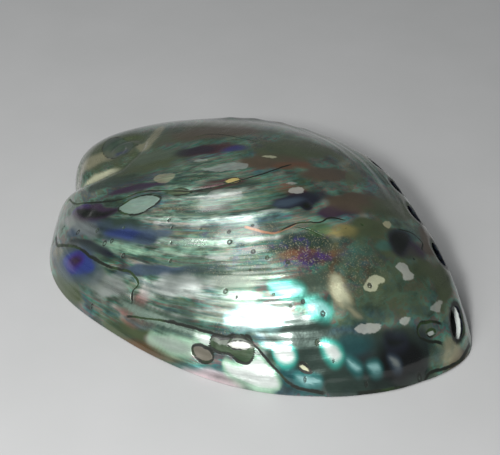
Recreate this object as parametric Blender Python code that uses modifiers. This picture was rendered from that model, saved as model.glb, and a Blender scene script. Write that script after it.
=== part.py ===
"""A polished abalone shell, lying on its rim with the hollow side down.

Frame: metres, +Z up, z = 0 is the surface that the rim rests on. +X is the growing (front) end, +Y is the side with
the row of breathing holes, -Y is the outer lip, and the spire sits low at the back. The origin is under the middle of
the shell's box. The shell is one grown piece, so it is one object.
"""

import math

import bmesh
import bpy
import numpy as np
from mathutils import Matrix, Vector

MM = 0.001
SHELL_NAME = "abalone_shell"

# Plan of the rim: its reach from the drawing centre every 22.5 degrees, from +X round through +Y, in millimetres
RIM_REACH = (69.0, 61.9, 52.6, 50.1, 48.2, 49.1, 52.5, 60.7, 67.3, 62.9, 59.4, 53.1, 49.2, 50.2, 55.0, 62.4)
CROWN = (0.9, 1.4)
CROWN_HEIGHT = 35.8

# The rim's front end is drawn out to a blunt point: its bearing and spread in degrees, and its reach
TIP_BEARING = 7.6
TIP_SPREAD = 9.9
TIP_REACH = 3.1

# Meridians are cubic curves from crown to rim. Their handles are given at +X, +Y, -X and -Y
CROWN_HANDLE = (0.54, 0.45, 0.46, 0.50)
RIM_HANDLE = (0.91, 1.09, 1.01, 0.83)
RIM_HANDLE_HEIGHT = (0.55, 0.59, 0.52, 0.45)

# The sheet runs this share past the rim, and is then cut flat at z = 0
RIM_OVERRUN = 1.04
SPOKES = 88
RINGS = 24
RING_CROWDING = 0.9

# Wall: thin over most of the shell, thick at the foot of the hole side, where the inner shelf is
WALL = 2.4
SHELF_WALL = 9.0
SHELF_FROM = 42.0
SHELF_TO = 178.0
SHELF_FADE = 40.0
SHELF_TOP = 0.80
SHELF_FOOT = 0.99

# Spire: a low hump at the back, wound round the apex, and parted from the last whorl by a crease
APEX = (-45.0, -8.6)
HUMP_CENTRE = (-60.0, -6.0)
HUMP_RISE = 2.7
HUMP_SPREAD = 12.0
CREASE = ((-70.0, -16.0), (-60.0, -18.0), (-52.0, -20.0), (-45.5, -18.7), (-39.0, -16.5), (-29.0, -14.0))
NOTCH_DEPTH = 5.0
NOTCH_WIDTH = 6.0
CREASE_DEPTH = 1.5
CREASE_WIDTH = 2.0
NOTCH_ENDS = (0.1, 0.4)
CREASE_ENDS = (0.6, 1.0)
WHORL_REACH = 9.0
WHORL_SHRINK = 0.30
WHORL_DEPTH = 0.7
WHORL_WIDTH = 1.3
WHORLS_FADE = (0.9, 1.5)

# Growth folds: each older rim is the present one shrunk towards the apex and turned a little
FOLD_TURN = 0.72
FOLD_PITCH = 0.17
FOLD_RISE = 0.32
FOLDS_FADE = (0.45, 1.0)
AGE_ROUNDS = 12
AGE_BEARINGS = 720

# The folds wander off their growth line in slow waves: size in radians of fold, length in millimetres, start
WANDER_ALONG = (0.6, 23.0, 0.8)
WANDER_ACROSS = (0.5, 17.0, 2.1)

# Breathing holes along the left shoulder: bearing in degrees, place between crown and rim, half length, half width
HOLES = (
    (7.8, 0.855, 4.6, 2.9),
    (22.3, 0.715, 4.1, 2.6),
    (36.5, 0.650, 3.6, 2.3),
    (52.0, 0.630, 3.1, 2.0),
    (67.0, 0.620, 2.7, 1.8),
    (81.0, 0.615, 2.3, 1.6),
)
HEALED_HOLES = ((94.0, 0.610), (106.5, 0.600), (118.5, 0.585), (130.0, 0.560), (141.0, 0.525))
HEALED_RISE = 0.25
HEALED_REACH = 2.4
SHOULDER_RISE = 0.9
SHOULDER_WIDTH = 4.5
SHOULDER_STARTS = (0.0, 0.35)
SHOULDER_ENDS = (2.3, 2.8)
HOLE_DEPTH = 12.0
HOLE_FLARE = 1.3


def round_series(values, bearing):
    """Values given at equal steps round the circle, joined by the smooth series through them."""
    count = len(values)
    terms = np.fft.rfft(values) / count
    total = np.full(np.shape(bearing), terms[0].real)
    for order in range(1, len(terms)):
        weight = 1.0 if 2 * order == count else 2.0
        total = total + weight * (terms[order] * np.exp(1j * order * np.asarray(bearing))).real
    return total


def rise_smoothly(value, low, high):
    """0 below low, 1 above high, and an easy curve between them."""
    share = np.clip((value - low) / (high - low), 0.0, 1.0)
    return share * share * (3.0 - 2.0 * share)


def meridian_reach(bearing, run):
    """How far the meridian's rim end is from the drawing centre, with the front point growing towards the rim."""
    from_tip = np.mod(np.degrees(bearing) - TIP_BEARING + 180.0, 360.0) - 180.0
    return round_series(RIM_REACH, bearing) + TIP_REACH * run ** 4 * np.exp(-(from_tip / TIP_SPREAD) ** 2)


def base_point(bearing, run):
    """A point of the smooth dome: run goes from 0 at the crown to 1 at the rim."""
    reach = meridian_reach(bearing, run)
    inner = round_series(CROWN_HANDLE, bearing)
    outer = round_series(RIM_HANDLE, bearing)
    lift = round_series(RIM_HANDLE_HEIGHT, bearing)
    left = 1.0 - run
    share = 3.0 * left ** 2 * run * inner + 3.0 * left * run ** 2 * outer + run ** 3
    x = CROWN[0] + share * (reach * np.cos(bearing) - CROWN[0])
    y = CROWN[1] + share * (reach * np.sin(bearing) - CROWN[1])
    z = CROWN_HEIGHT * (left ** 3 + 3.0 * left ** 2 * run + 3.0 * left * run ** 2 * lift)
    return np.stack([x, y, z], axis=-1)


def base_normal(bearing, run):
    """The smooth dome's outward direction, from two short steps along it."""
    step = 1e-3
    run = np.maximum(run, 2.0 * step)
    along = base_point(bearing, run + step) - base_point(bearing, run - step)
    across = base_point(bearing + step, run) - base_point(bearing - step, run)
    normal = np.cross(along, across)
    return normal / np.linalg.norm(normal, axis=-1, keepdims=True)


def smooth_path(corners, count=80):
    """Points of the smooth curve that runs through a few corners in plan."""
    corners = np.asarray(corners, dtype=float)
    ends = np.vstack([2 * corners[0] - corners[1], corners, 2 * corners[-1] - corners[-2]])
    points = []
    for place in np.linspace(0.0, len(corners) - 1.0, count):
        first = min(int(place), len(corners) - 2)
        share = place - first
        a, b, c, d = ends[first:first + 4]
        points.append(0.5 * (2 * b + (c - a) * share + (2 * a - 5 * b + 4 * c - d) * share ** 2
                             + (3 * b - a - 3 * c + d) * share ** 3))
    return np.array(points)


def crease_relief(x, y):
    """The crease between the spire and the last whorl: a deep notch at the rim, narrow and fading forward."""
    path = smooth_path(CREASE)
    gap = np.hypot(x[..., None] - path[:, 0], y[..., None] - path[:, 1])
    place = gap.argmin(axis=-1) / (len(path) - 1.0)
    forward = rise_smoothly(place, *NOTCH_ENDS)
    depth = NOTCH_DEPTH + (CREASE_DEPTH - NOTCH_DEPTH) * forward
    width = NOTCH_WIDTH + (CREASE_WIDTH - NOTCH_WIDTH) * forward
    fade = 1.0 - rise_smoothly(place, *CREASE_ENDS)
    return -depth * fade * np.exp(-(gap.min(axis=-1) / width) ** 2)


def spire_relief(x, y):
    """The hump of the spire, with the turns of its small whorls cut into it."""
    hump = HUMP_RISE * np.exp(-np.hypot(x - HUMP_CENTRE[0], y - HUMP_CENTRE[1]) ** 2 / HUMP_SPREAD ** 2)
    away = np.hypot(x - APEX[0], y - APEX[1])
    turn = np.arctan2(y - APEX[1], x - APEX[0])
    pitch = 2.0 * math.pi * WHORL_SHRINK
    phase = (np.log(np.maximum(away, 0.2) / WHORL_REACH) + WHORL_SHRINK * turn) / pitch
    from_turn = np.abs(phase - np.round(phase)) * pitch * away
    inside = 1.0 - rise_smoothly(away / WHORL_REACH, *WHORLS_FADE)
    return hump - WHORL_DEPTH * inside * np.exp(-(from_turn / WHORL_WIDTH) ** 2)


def growth_age(x, y):
    """How long ago the rim stood here: 0 on the present rim, one for each time the shell shrank by e."""
    bearing = np.linspace(0.0, 2.0 * math.pi, AGE_BEARINGS, endpoint=False)
    reach = meridian_reach(bearing, 1.0)
    rim_x = reach * np.cos(bearing) - APEX[0]
    rim_y = reach * np.sin(bearing) - APEX[1]
    rim_turn = np.unwrap(np.arctan2(rim_y, rim_x))
    rim_away = np.hypot(rim_x, rim_y)
    away = np.maximum(np.hypot(x - APEX[0], y - APEX[1]), 1.0)
    turn = np.arctan2(y - APEX[1], x - APEX[0])
    age = np.zeros(np.shape(x))
    for _ in range(AGE_ROUNDS):
        wanted = np.mod(turn - FOLD_TURN * age - rim_turn[0], 2.0 * math.pi) + rim_turn[0]
        age = 0.5 * age + 0.5 * np.log(np.interp(wanted, rim_turn, rim_away, period=2.0 * math.pi) / away)
    return age


def fold_relief(x, y):
    """Low folds that follow the growth lines and fade out near the spire."""
    age = growth_age(x, y)
    along = WANDER_ALONG[0] * np.sin(x / WANDER_ALONG[1] + WANDER_ALONG[2])
    across = WANDER_ACROSS[0] * np.sin(y / WANDER_ACROSS[1] + WANDER_ACROSS[2])
    fade = 1.0 - rise_smoothly(age, *FOLDS_FADE)
    return FOLD_RISE * fade * np.sin(2.0 * math.pi * age / FOLD_PITCH + along + across)


def hole_row_relief(bearing, run):
    """The low shoulder that carries the holes, and the knobs of the healed ones behind them."""
    angles = np.radians([hole[0] for hole in HOLES] + [hole[0] for hole in HEALED_HOLES])
    places = np.array([hole[1] for hole in HOLES] + [hole[1] for hole in HEALED_HOLES])
    turn = np.mod(bearing, 2.0 * math.pi)
    middle = np.interp(turn, angles, places)
    point = base_point(bearing, run)
    away = np.linalg.norm(point - base_point(bearing, middle), axis=-1)
    along = rise_smoothly(turn, *SHOULDER_STARTS) * (1.0 - rise_smoothly(turn, *SHOULDER_ENDS))
    relief = SHOULDER_RISE * along * np.exp(-(away / SHOULDER_WIDTH) ** 2)
    for angle, place in HEALED_HOLES:
        knob = base_point(np.radians(angle), np.array(place))
        relief = relief + HEALED_RISE * np.exp(-(np.linalg.norm(point - knob, axis=-1) / HEALED_REACH) ** 2)
    return relief


def outer_point(bearing, run):
    """A point of the outer surface, in millimetres from the drawing centre."""
    point = base_point(bearing, run)
    x = point[..., 0]
    y = point[..., 1]
    relief = crease_relief(x, y) + spire_relief(x, y) + fold_relief(x, y) + hole_row_relief(bearing, run)
    return point + relief[..., None] * base_normal(bearing, run)


def plan_centre():
    """The middle of the shell's box in plan, which becomes the origin."""
    bearing, run = np.meshgrid(np.linspace(0.0, 2.0 * math.pi, 360, endpoint=False), np.linspace(0.7, 1.0, 13))
    points = outer_point(bearing, run)
    low = points.min(axis=(0, 1))
    high = points.max(axis=(0, 1))
    return (low[0] + high[0]) / 2.0, (low[1] + high[1]) / 2.0


def wall_share(bearing, run):
    """The wall's thickness as a share of the thickest wall."""
    degrees = np.mod(np.degrees(bearing) + 90.0, 360.0) - 90.0
    side = rise_smoothly(degrees, SHELF_FROM - SHELF_FADE / 2, SHELF_FROM + SHELF_FADE / 2)
    side = side * (1.0 - rise_smoothly(degrees, SHELF_TO - SHELF_FADE / 2, SHELF_TO + SHELF_FADE / 2))
    foot = rise_smoothly(run, SHELF_TOP, SHELF_FOOT)
    return (WALL + (SHELF_WALL - WALL) * side * foot) / SHELF_WALL


def new_material():
    """Dark grey-green polished shell."""
    material = bpy.data.materials.new("polished_shell")
    material.use_nodes = True
    shader = material.node_tree.nodes["Principled BSDF"]
    shader.inputs["Base Color"].default_value = (0.20, 0.25, 0.22, 1.0)
    shader.inputs["Roughness"].default_value = 0.18
    shader.inputs["Metallic"].default_value = 0.35
    return material


def new_object(name, bmesh_source, collection):
    """A mesh object made from a bmesh, which is freed."""
    mesh = bpy.data.meshes.new(name)
    bmesh_source.to_mesh(mesh)
    bmesh_source.free()
    made = bpy.data.objects.new(name, mesh)
    collection.objects.link(made)
    return made


def make_sheet(collection, shift):
    """The outer surface: a straight line of points spun into a disc, which is then laid over the dome."""
    sheet = bmesh.new()
    line = [sheet.verts.new((RIM_OVERRUN * (ring / RINGS) ** RING_CROWDING, 0.0, 0.0)) for ring in range(RINGS + 1)]
    edges = [sheet.edges.new(pair) for pair in zip(line, line[1:])]
    bmesh.ops.spin(
        sheet, geom=line + edges, cent=(0.0, 0.0, 0.0), axis=(0.0, 0.0, 1.0), angle=2.0 * math.pi, steps=SPOKES,
        use_merge=True,
    )
    bmesh.ops.remove_doubles(sheet, verts=sheet.verts[:], dist=1e-5)
    flat = np.array([vertex.co[:2] for vertex in sheet.verts])
    bearing = np.arctan2(flat[:, 1], flat[:, 0])
    run = np.hypot(flat[:, 0], flat[:, 1])
    points = outer_point(bearing, run)
    for vertex, point in zip(sheet.verts, points):
        vertex.co = (Vector(point) - shift) * MM
    bmesh.ops.recalc_face_normals(sheet, faces=sheet.faces[:])
    if sum(face.normal.z for face in sheet.faces) < 0.0:
        bmesh.ops.reverse_faces(sheet, faces=sheet.faces[:])
    shell = new_object(SHELL_NAME, sheet, collection)
    thickness = shell.vertex_groups.new(name="wall")
    for index, share in enumerate(wall_share(bearing, run)):
        thickness.add([index], float(share), "REPLACE")
    return shell


def make_floor_cutter(collection):
    """A block whose top is the surface that the shell rests on."""
    width = 0.4
    depth = 0.1
    bpy.ops.mesh.primitive_cube_add(size=1.0, location=(0.0, 0.0, -depth / 2.0))
    block = bpy.context.object
    block.name = "floor_cutter"
    block.scale = (width, width, depth)
    move_to(block, collection)
    return block


def make_hole_cutter(index, shift, collection):
    """An oval plug, square to the wall and wider inside, with its long way along the row."""
    degrees, place, half_length, half_width = HOLES[index]
    bearing = np.radians(degrees)
    middle = outer_point(np.array(bearing), np.array(place))
    outward = Vector(base_normal(np.array(bearing), np.array(place)))
    before = HOLES[max(index - 1, 0)]
    after = HOLES[min(index + 1, len(HOLES) - 1)]
    ahead = base_point(np.radians(before[0]), np.array(before[1]))
    behind = base_point(np.radians(after[0]), np.array(after[1]))
    along = Vector(ahead - behind)
    along = (along - outward * along.dot(outward)).normalized()
    across = outward.cross(along)
    bpy.ops.mesh.primitive_cone_add(vertices=20, radius1=HOLE_FLARE, radius2=2.0 - HOLE_FLARE, depth=HOLE_DEPTH * MM)
    plug = bpy.context.object
    plug.name = f"hole_cutter_{index + 1}"
    axes = Matrix((along * half_length * MM, across * half_width * MM, outward)).transposed().to_4x4()
    plug.matrix_world = Matrix.Translation((Vector(middle) - shift) * MM) @ axes
    move_to(plug, collection)
    return plug


def move_to(cutter, collection):
    """Put a cutter in its own collection, out of the render."""
    for old in cutter.users_collection:
        old.objects.unlink(cutter)
    collection.objects.link(cutter)
    cutter.hide_render = True
    cutter.display_type = "WIRE"


def cut(target, cutter):
    """Take the cutter's room out of the target."""
    boolean = target.modifiers.new(f"cut_{cutter.name}", "BOOLEAN")
    boolean.operation = "DIFFERENCE"
    boolean.solver = "EXACT"
    boolean.object = cutter


def main():
    """Build the shell in an empty scene."""
    for old in list(bpy.data.objects):
        bpy.data.objects.remove(old, do_unlink=True)
    parts = bpy.data.collections.new("abalone_shell_parts")
    cutters = bpy.data.collections.new("cutters")
    bpy.context.scene.collection.children.link(parts)
    bpy.context.scene.collection.children.link(cutters)

    centre_x, centre_y = plan_centre()
    shift = Vector((centre_x, centre_y, 0.0))
    shell = make_sheet(parts, shift)
    shell.data.materials.append(new_material())

    wall = shell.modifiers.new("wall", "SOLIDIFY")
    wall.thickness = SHELF_WALL * MM
    wall.offset = -1.0
    wall.vertex_group = "wall"
    wall.use_rim = True

    cut(shell, make_floor_cutter(cutters))
    for index in range(len(HOLES)):
        cut(shell, make_hole_cutter(index, shift, cutters))
    shell.data.shade_smooth()


main()
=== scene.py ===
"""Looks of a polished abalone shell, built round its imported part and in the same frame.

The shell is one grown piece, so it is one object: a closed mesh whose outside, inside and cut hole walls
have their own materials. Lengths in the shape classes are millimetres from the drawing centre that the part
was drawn from, with +X the growing front end, +Y the hole side and -Y the outer lip.
"""

import logging
import math
from abc import ABC, abstractmethod
from dataclasses import dataclass, field
from enum import Enum, IntEnum
from functools import reduce

import bmesh
import bpy
import numpy as np
from mathutils import Matrix, Vector


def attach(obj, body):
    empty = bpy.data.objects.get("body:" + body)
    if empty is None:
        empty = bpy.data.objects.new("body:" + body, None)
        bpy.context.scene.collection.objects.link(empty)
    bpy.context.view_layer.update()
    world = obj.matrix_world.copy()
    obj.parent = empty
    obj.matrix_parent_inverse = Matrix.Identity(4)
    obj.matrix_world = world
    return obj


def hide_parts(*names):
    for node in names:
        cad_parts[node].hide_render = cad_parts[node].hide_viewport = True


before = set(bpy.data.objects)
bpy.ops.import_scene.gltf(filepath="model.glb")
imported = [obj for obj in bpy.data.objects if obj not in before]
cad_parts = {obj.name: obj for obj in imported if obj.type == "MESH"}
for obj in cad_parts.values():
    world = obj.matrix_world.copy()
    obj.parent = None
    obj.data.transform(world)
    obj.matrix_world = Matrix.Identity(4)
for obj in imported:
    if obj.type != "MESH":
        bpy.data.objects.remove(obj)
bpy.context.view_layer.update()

LOG = logging.getLogger("abalone_shell")
MM = 0.001
PIECE_NAME = "polished_shell"
PART_NAME = "abalone_shell"
FAR = 99.0
PlanPoint = tuple[float, float]
Numbers = float | np.ndarray
Socket = bpy.types.NodeSocket


class Surface(IntEnum):
    """Material slots of the shell."""

    OUTSIDE = 0
    INSIDE = 1
    HOLE_WALL = 2


class Tint(Enum):
    """Colours of the shell, as the eye names them, in display values from 0 to 255."""

    INK = (14, 22, 12)
    SOOT = (13, 17, 17)
    MOSS = (36, 58, 24)
    SLATE = (50, 68, 60)
    STEEL = (70, 88, 104)
    OLIVE = (78, 90, 62)
    STONE = (92, 108, 92)
    BARK = (92, 80, 64)
    RUST = (122, 72, 44)
    GOLD = (176, 160, 96)
    SAND = (168, 164, 132)
    # CREAM, PEARL and ICE, and AQUA further down, also paint highlights on the outside, and PEARL paints
    # light deep in the hole walls.
    CREAM = (212, 214, 180)
    PEARL = (236, 244, 238)
    ICE = (176, 226, 224)
    MINT = (168, 214, 182)
    LEAF = (98, 132, 84)
    TEAL = (52, 134, 132)
    SEA = (34, 84, 86)
    SKY = (110, 160, 196)
    COBALT = (44, 62, 150)
    VIOLET = (64, 40, 128)
    PLUM = (60, 42, 66)
    WINE = (74, 38, 42)
    ROSE = (178, 118, 116)
    BLUSH = (226, 204, 208)
    ASH = (150, 158, 152)
    CHALK = (186, 188, 180)
    NIGHT = (30, 34, 48)
    NACRE = (132, 156, 142)
    AQUA = (70, 200, 180)
    FERN = (70, 86, 72)
    TAUPE = (104, 100, 88)
    PEACH = (196, 138, 104)

    @property
    def linear(self) -> tuple[float, float, float, float]:
        """Turn the colour into the values that shaders take.

        Returns:
            Red, green, blue and a full alpha.
        """
        shares = (value / 255.0 for value in self.value)
        low = (share / 12.92 if share <= 0.04045 else ((share + 0.055) / 1.055) ** 2.4 for share in shares)
        return (*low, 1.0)


Value = Socket | Tint | float | tuple[float, ...]
Stop = tuple[float, Tint]


def rise_smoothly(value: Numbers, low: float, high: float) -> np.ndarray:
    """0 below low, 1 above high, and an easy curve between them."""
    share = np.clip((np.asarray(value) - low) / (high - low), 0.0, 1.0)
    return share * share * (3.0 - 2.0 * share)


def bell(value: Numbers, width: Numbers) -> np.ndarray:
    """1 in the middle, and fading to nothing at about twice the width."""
    return np.exp(-((value / width) ** 2))


def round_series(values: tuple[float, ...], bearing: Numbers) -> np.ndarray:
    """Join values given at equal steps round the circle by the smooth series through them.

    Args:
        values: the values, from +X round through +Y.
        bearing: where the series is wanted, in radians.

    Returns:
        The series at each bearing.
    """
    count = len(values)
    terms = np.fft.rfft(values) / count
    total = np.full(np.shape(bearing), terms[0].real)
    for order in range(1, len(terms)):
        weight = 1.0 if 2 * order == count else 2.0
        total = total + weight * (terms[order] * np.exp(1j * order * np.asarray(bearing))).real
    return total


def bend_through(
    before: np.ndarray, start: np.ndarray, end: np.ndarray, after: np.ndarray, share: Numbers
) -> np.ndarray:
    """Walk along the smooth curve between two points of a row.

    Args:
        before: the point that comes before the start.
        start: where the curve starts.
        end: where it ends.
        after: the point that comes after the end.
        share: how far to walk, from 0 to 1.

    Returns:
        The places on the curve.
    """
    square = (2 * before - 5 * start + 4 * end - after) * share**2
    cube = (3 * start - before - 3 * end + after) * share**3
    return 0.5 * (2 * start + (end - before) * share + (square + cube))


def smooth_path(corners: tuple[PlanPoint, ...], count: int = 80) -> np.ndarray:
    """Draw the smooth curve that runs through a few corners in plan.

    Args:
        corners: two or more places that the curve passes.
        count: how many points are wanted.

    Returns:
        The points, one to a row.
    """
    places = np.asarray(corners, dtype=float)
    ends = np.vstack([2 * places[0] - places[1], places, 2 * places[-1] - places[-2]])
    points = []
    for place in np.linspace(0.0, len(places) - 1.0, count):
        first = min(int(place), len(places) - 2)
        points.append(bend_through(*ends[first : first + 4], place - first))
    return np.array(points)


def closed_path(corners: tuple[PlanPoint, ...], steps: int = 8) -> np.ndarray:
    """Draw the smooth closed curve through a few corners in plan.

    Args:
        corners: the places that the curve passes.
        steps: how many steps it takes from one corner to the next.

    Returns:
        The points, one to a row.
    """
    places = np.asarray(corners, dtype=float)
    around = [np.roll(places, shift, axis=0)[:, None] for shift in (1, 0, -1, -2)]
    share = np.linspace(0.0, 1.0, steps, endpoint=False)[None, :, None]
    return bend_through(*around, share).reshape(-1, 2)


@dataclass(frozen=True)
class Dome:
    """The smooth form of the last whorl: a fan of cubic curves from the crown to the rim."""

    rim_reach: tuple[float, ...] = (
        69.0, 61.9, 52.6, 50.1, 48.2, 49.1, 52.5, 60.7, 67.3, 62.9, 59.4, 53.1, 49.2, 50.2, 55.0, 62.4,
    )
    crown: PlanPoint = (0.9, 1.4)
    crown_height: float = 35.8
    tip_bearing: float = 7.6
    tip_spread: float = 9.9
    tip_reach: float = 3.1
    crown_handle: tuple[float, ...] = (0.54, 0.45, 0.46, 0.50)
    rim_handle: tuple[float, ...] = (0.91, 1.09, 1.01, 0.83)
    rim_handle_height: tuple[float, ...] = (0.55, 0.59, 0.52, 0.45)
    short_step: float = 0.001

    def reach(self, bearing: Numbers, run: Numbers) -> np.ndarray:
        """Find how far the rim end is from the drawing centre, with the front point growing towards the rim.

        Args:
            bearing: direction from the drawing centre, in radians.
            run: 0 at the crown and 1 at the rim.

        Returns:
            The reach, in millimetres.
        """
        from_tip = np.mod(np.degrees(bearing) - self.tip_bearing + 180.0, 360.0) - 180.0
        tip = self.tip_reach * run**4 * bell(from_tip, self.tip_spread)
        return round_series(self.rim_reach, bearing) + tip

    def point(self, bearing: Numbers, run: Numbers) -> np.ndarray:
        """Find points of the dome.

        Args:
            bearing: direction from the drawing centre, in radians.
            run: 0 at the crown and 1 at the rim.

        Returns:
            The points, in millimetres.
        """
        reach = self.reach(bearing, run)
        inner = round_series(self.crown_handle, bearing)
        outer = round_series(self.rim_handle, bearing)
        lift = round_series(self.rim_handle_height, bearing)
        left = 1.0 - run
        share = 3.0 * left**2 * run * inner + 3.0 * left * run**2 * outer + run**3
        x = self.crown[0] + share * (reach * np.cos(bearing) - self.crown[0])
        y = self.crown[1] + share * (reach * np.sin(bearing) - self.crown[1])
        z = self.crown_height * (left**3 + 3.0 * left**2 * run + 3.0 * left * run**2 * lift)
        return np.stack([x, y, z], axis=-1)

    def normal(self, bearing: Numbers, run: Numbers) -> np.ndarray:
        """Find the outward direction from two short steps along the dome.

        Args:
            bearing: direction from the drawing centre, in radians.
            run: 0 at the crown and 1 at the rim.

        Returns:
            Directions of length 1.
        """
        step = self.short_step
        run = np.maximum(run, 2.0 * step)
        along = self.point(bearing, run + step) - self.point(bearing, run - step)
        across = self.point(bearing + step, run) - self.point(bearing - step, run)
        normal = np.cross(along, across)
        return normal / np.linalg.norm(normal, axis=-1, keepdims=True)


@dataclass(frozen=True)
class GrowthClock:
    """Tells when the rim stood at a place.

    Each older rim is the present one, shrunk towards the apex and turned round it.
    """

    dome: Dome
    apex: PlanPoint = (-45.0, -8.6)
    turn: float = 0.72
    rim_points: int = 720
    rounds: int = 12

    def read(self, x: np.ndarray, y: np.ndarray) -> tuple[np.ndarray, np.ndarray]:
        """Read the clock.

        Args:
            x: places in plan.
            y: places in plan.

        Returns:
            The age, 0 on the present rim and one for each time the shell shrank by e, and the place along
            that rim as an angle round the apex.
        """
        bearing = np.linspace(0.0, 2.0 * math.pi, self.rim_points, endpoint=False)
        reach = self.dome.reach(bearing, 1.0)
        rim_x = reach * np.cos(bearing) - self.apex[0]
        rim_y = reach * np.sin(bearing) - self.apex[1]
        rim_turn = np.unwrap(np.arctan2(rim_y, rim_x))
        rim_away = np.hypot(rim_x, rim_y)
        away = np.maximum(np.hypot(x - self.apex[0], y - self.apex[1]), 1.0)
        seen = np.arctan2(y - self.apex[1], x - self.apex[0])
        age = np.zeros(np.shape(x))
        for _ in range(self.rounds):
            wanted = np.mod(seen - self.turn * age - rim_turn[0], 2.0 * math.pi) + rim_turn[0]
            age = 0.5 * age + 0.5 * np.log(np.interp(wanted, rim_turn, rim_away, period=2.0 * math.pi) / away)
        return age, seen - self.turn * age


@dataclass
class Spots:
    """Places on the shell, with what the relief and the markings need to know about each of them."""

    x: np.ndarray
    y: np.ndarray
    height: np.ndarray
    age: np.ndarray
    place: np.ndarray

    @classmethod
    def at(cls, points: np.ndarray, clock: GrowthClock) -> "Spots":
        """Spots at these points."""
        age, place = clock.read(points[:, 0], points[:, 1])
        return cls(points[:, 0], points[:, 1], points[:, 2], age, place)

    def away_from(self, x: float, y: float) -> np.ndarray:
        """Distance in plan from one place."""
        return np.hypot(self.x - x, self.y - y)

    def turned(self, x: float, y: float, degrees: float) -> tuple[np.ndarray, np.ndarray]:
        """Measure from one place, along a direction and across it.

        Args:
            x: the place in plan.
            y: the place in plan.
            degrees: the direction, from +X towards +Y.

        Returns:
            The offsets along the direction and across it, in millimetres.
        """
        cos = math.cos(math.radians(degrees))
        sin = math.sin(math.radians(degrees))
        return (self.x - x) * cos + (self.y - y) * sin, (self.y - y) * cos - (self.x - x) * sin

    def near(self, path: np.ndarray, reach: float) -> np.ndarray:
        """Tell which spots are near a path.

        Args:
            path: points in plan, one to a row.
            reach: how far round the path to look, in millimetres.

        Returns:
            True in the upright box that holds the path and the reach round it.
        """
        low = path.min(axis=0) - reach
        high = path.max(axis=0) + reach
        return (self.x > low[0]) & (self.x < high[0]) & (self.y > low[1]) & (self.y < high[1])


class Feature(ABC):
    """Something that raises or sinks the outer surface."""

    @abstractmethod
    def rise(self, spots: Spots) -> np.ndarray:
        """Find how far each spot moves outward.

        Args:
            spots: where it is wanted.

        Returns:
            The rise at each spot, in millimetres.
        """


@dataclass(frozen=True)
class Crease(Feature):
    """The crease between the spire and the last whorl: a deep notch at the rim, narrow and fading forward."""

    corners: tuple[PlanPoint, ...] = (
        (-70.0, -16.0), (-60.0, -18.0), (-52.0, -20.0), (-45.5, -18.7), (-39.0, -16.5), (-29.0, -14.0),
    )
    notch_depth: float = 5.0
    notch_width: float = 6.0
    depth: float = 1.5
    width: float = 2.0
    narrows: tuple[float, float] = (0.1, 0.4)
    fades: tuple[float, float] = (0.6, 1.0)

    def rise(self, spots: Spots) -> np.ndarray:
        """Sink the crease into the surface.

        Args:
            spots: where it is wanted.

        Returns:
            The rise at each spot, in millimetres.
        """
        path = smooth_path(self.corners)
        gap = np.hypot(spots.x[:, None] - path[:, 0], spots.y[:, None] - path[:, 1])
        place = gap.argmin(axis=1) / (len(path) - 1.0)
        forward = rise_smoothly(place, *self.narrows)
        depth = self.notch_depth + (self.depth - self.notch_depth) * forward
        width = self.notch_width + (self.width - self.notch_width) * forward
        return -depth * (1.0 - rise_smoothly(place, *self.fades)) * bell(gap.min(axis=1), width)


@dataclass(frozen=True)
class Spire(Feature):
    """The hump of the spire, with the turns of its small whorls cut into it."""

    apex: PlanPoint = (-45.0, -8.6)
    hump: PlanPoint = (-60.0, -6.0)
    hump_rise: float = 2.7
    hump_spread: float = 12.0
    whorl_reach: float = 9.0
    whorl_shrink: float = 0.30
    whorl_depth: float = 0.7
    whorl_width: float = 1.3

    def rise(self, spots: Spots) -> np.ndarray:
        """Raise the hump and cut the turns of the whorls into it.

        Args:
            spots: where it is wanted.

        Returns:
            The rise at each spot, in millimetres.
        """
        hump = self.hump_rise * bell(spots.away_from(*self.hump), self.hump_spread)
        away = spots.away_from(*self.apex)
        turn = np.arctan2(spots.y - self.apex[1], spots.x - self.apex[0])
        pitch = 2.0 * math.pi * self.whorl_shrink
        phase = (np.log(np.maximum(away, 0.2) / self.whorl_reach) + self.whorl_shrink * turn) / pitch
        from_turn = np.abs(phase - np.round(phase)) * pitch * away
        inside = 1.0 - rise_smoothly(away, self.whorl_reach * 0.9, self.whorl_reach * 1.5)
        return hump - self.whorl_depth * inside * bell(from_turn, self.whorl_width)


@dataclass(frozen=True)
class GrowthFold:
    """One low fold along a former rim."""

    age: float
    width: float
    rise: float
    # How pale the fold's crest is painted, as a highlight of the lamps.
    light: float


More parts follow.
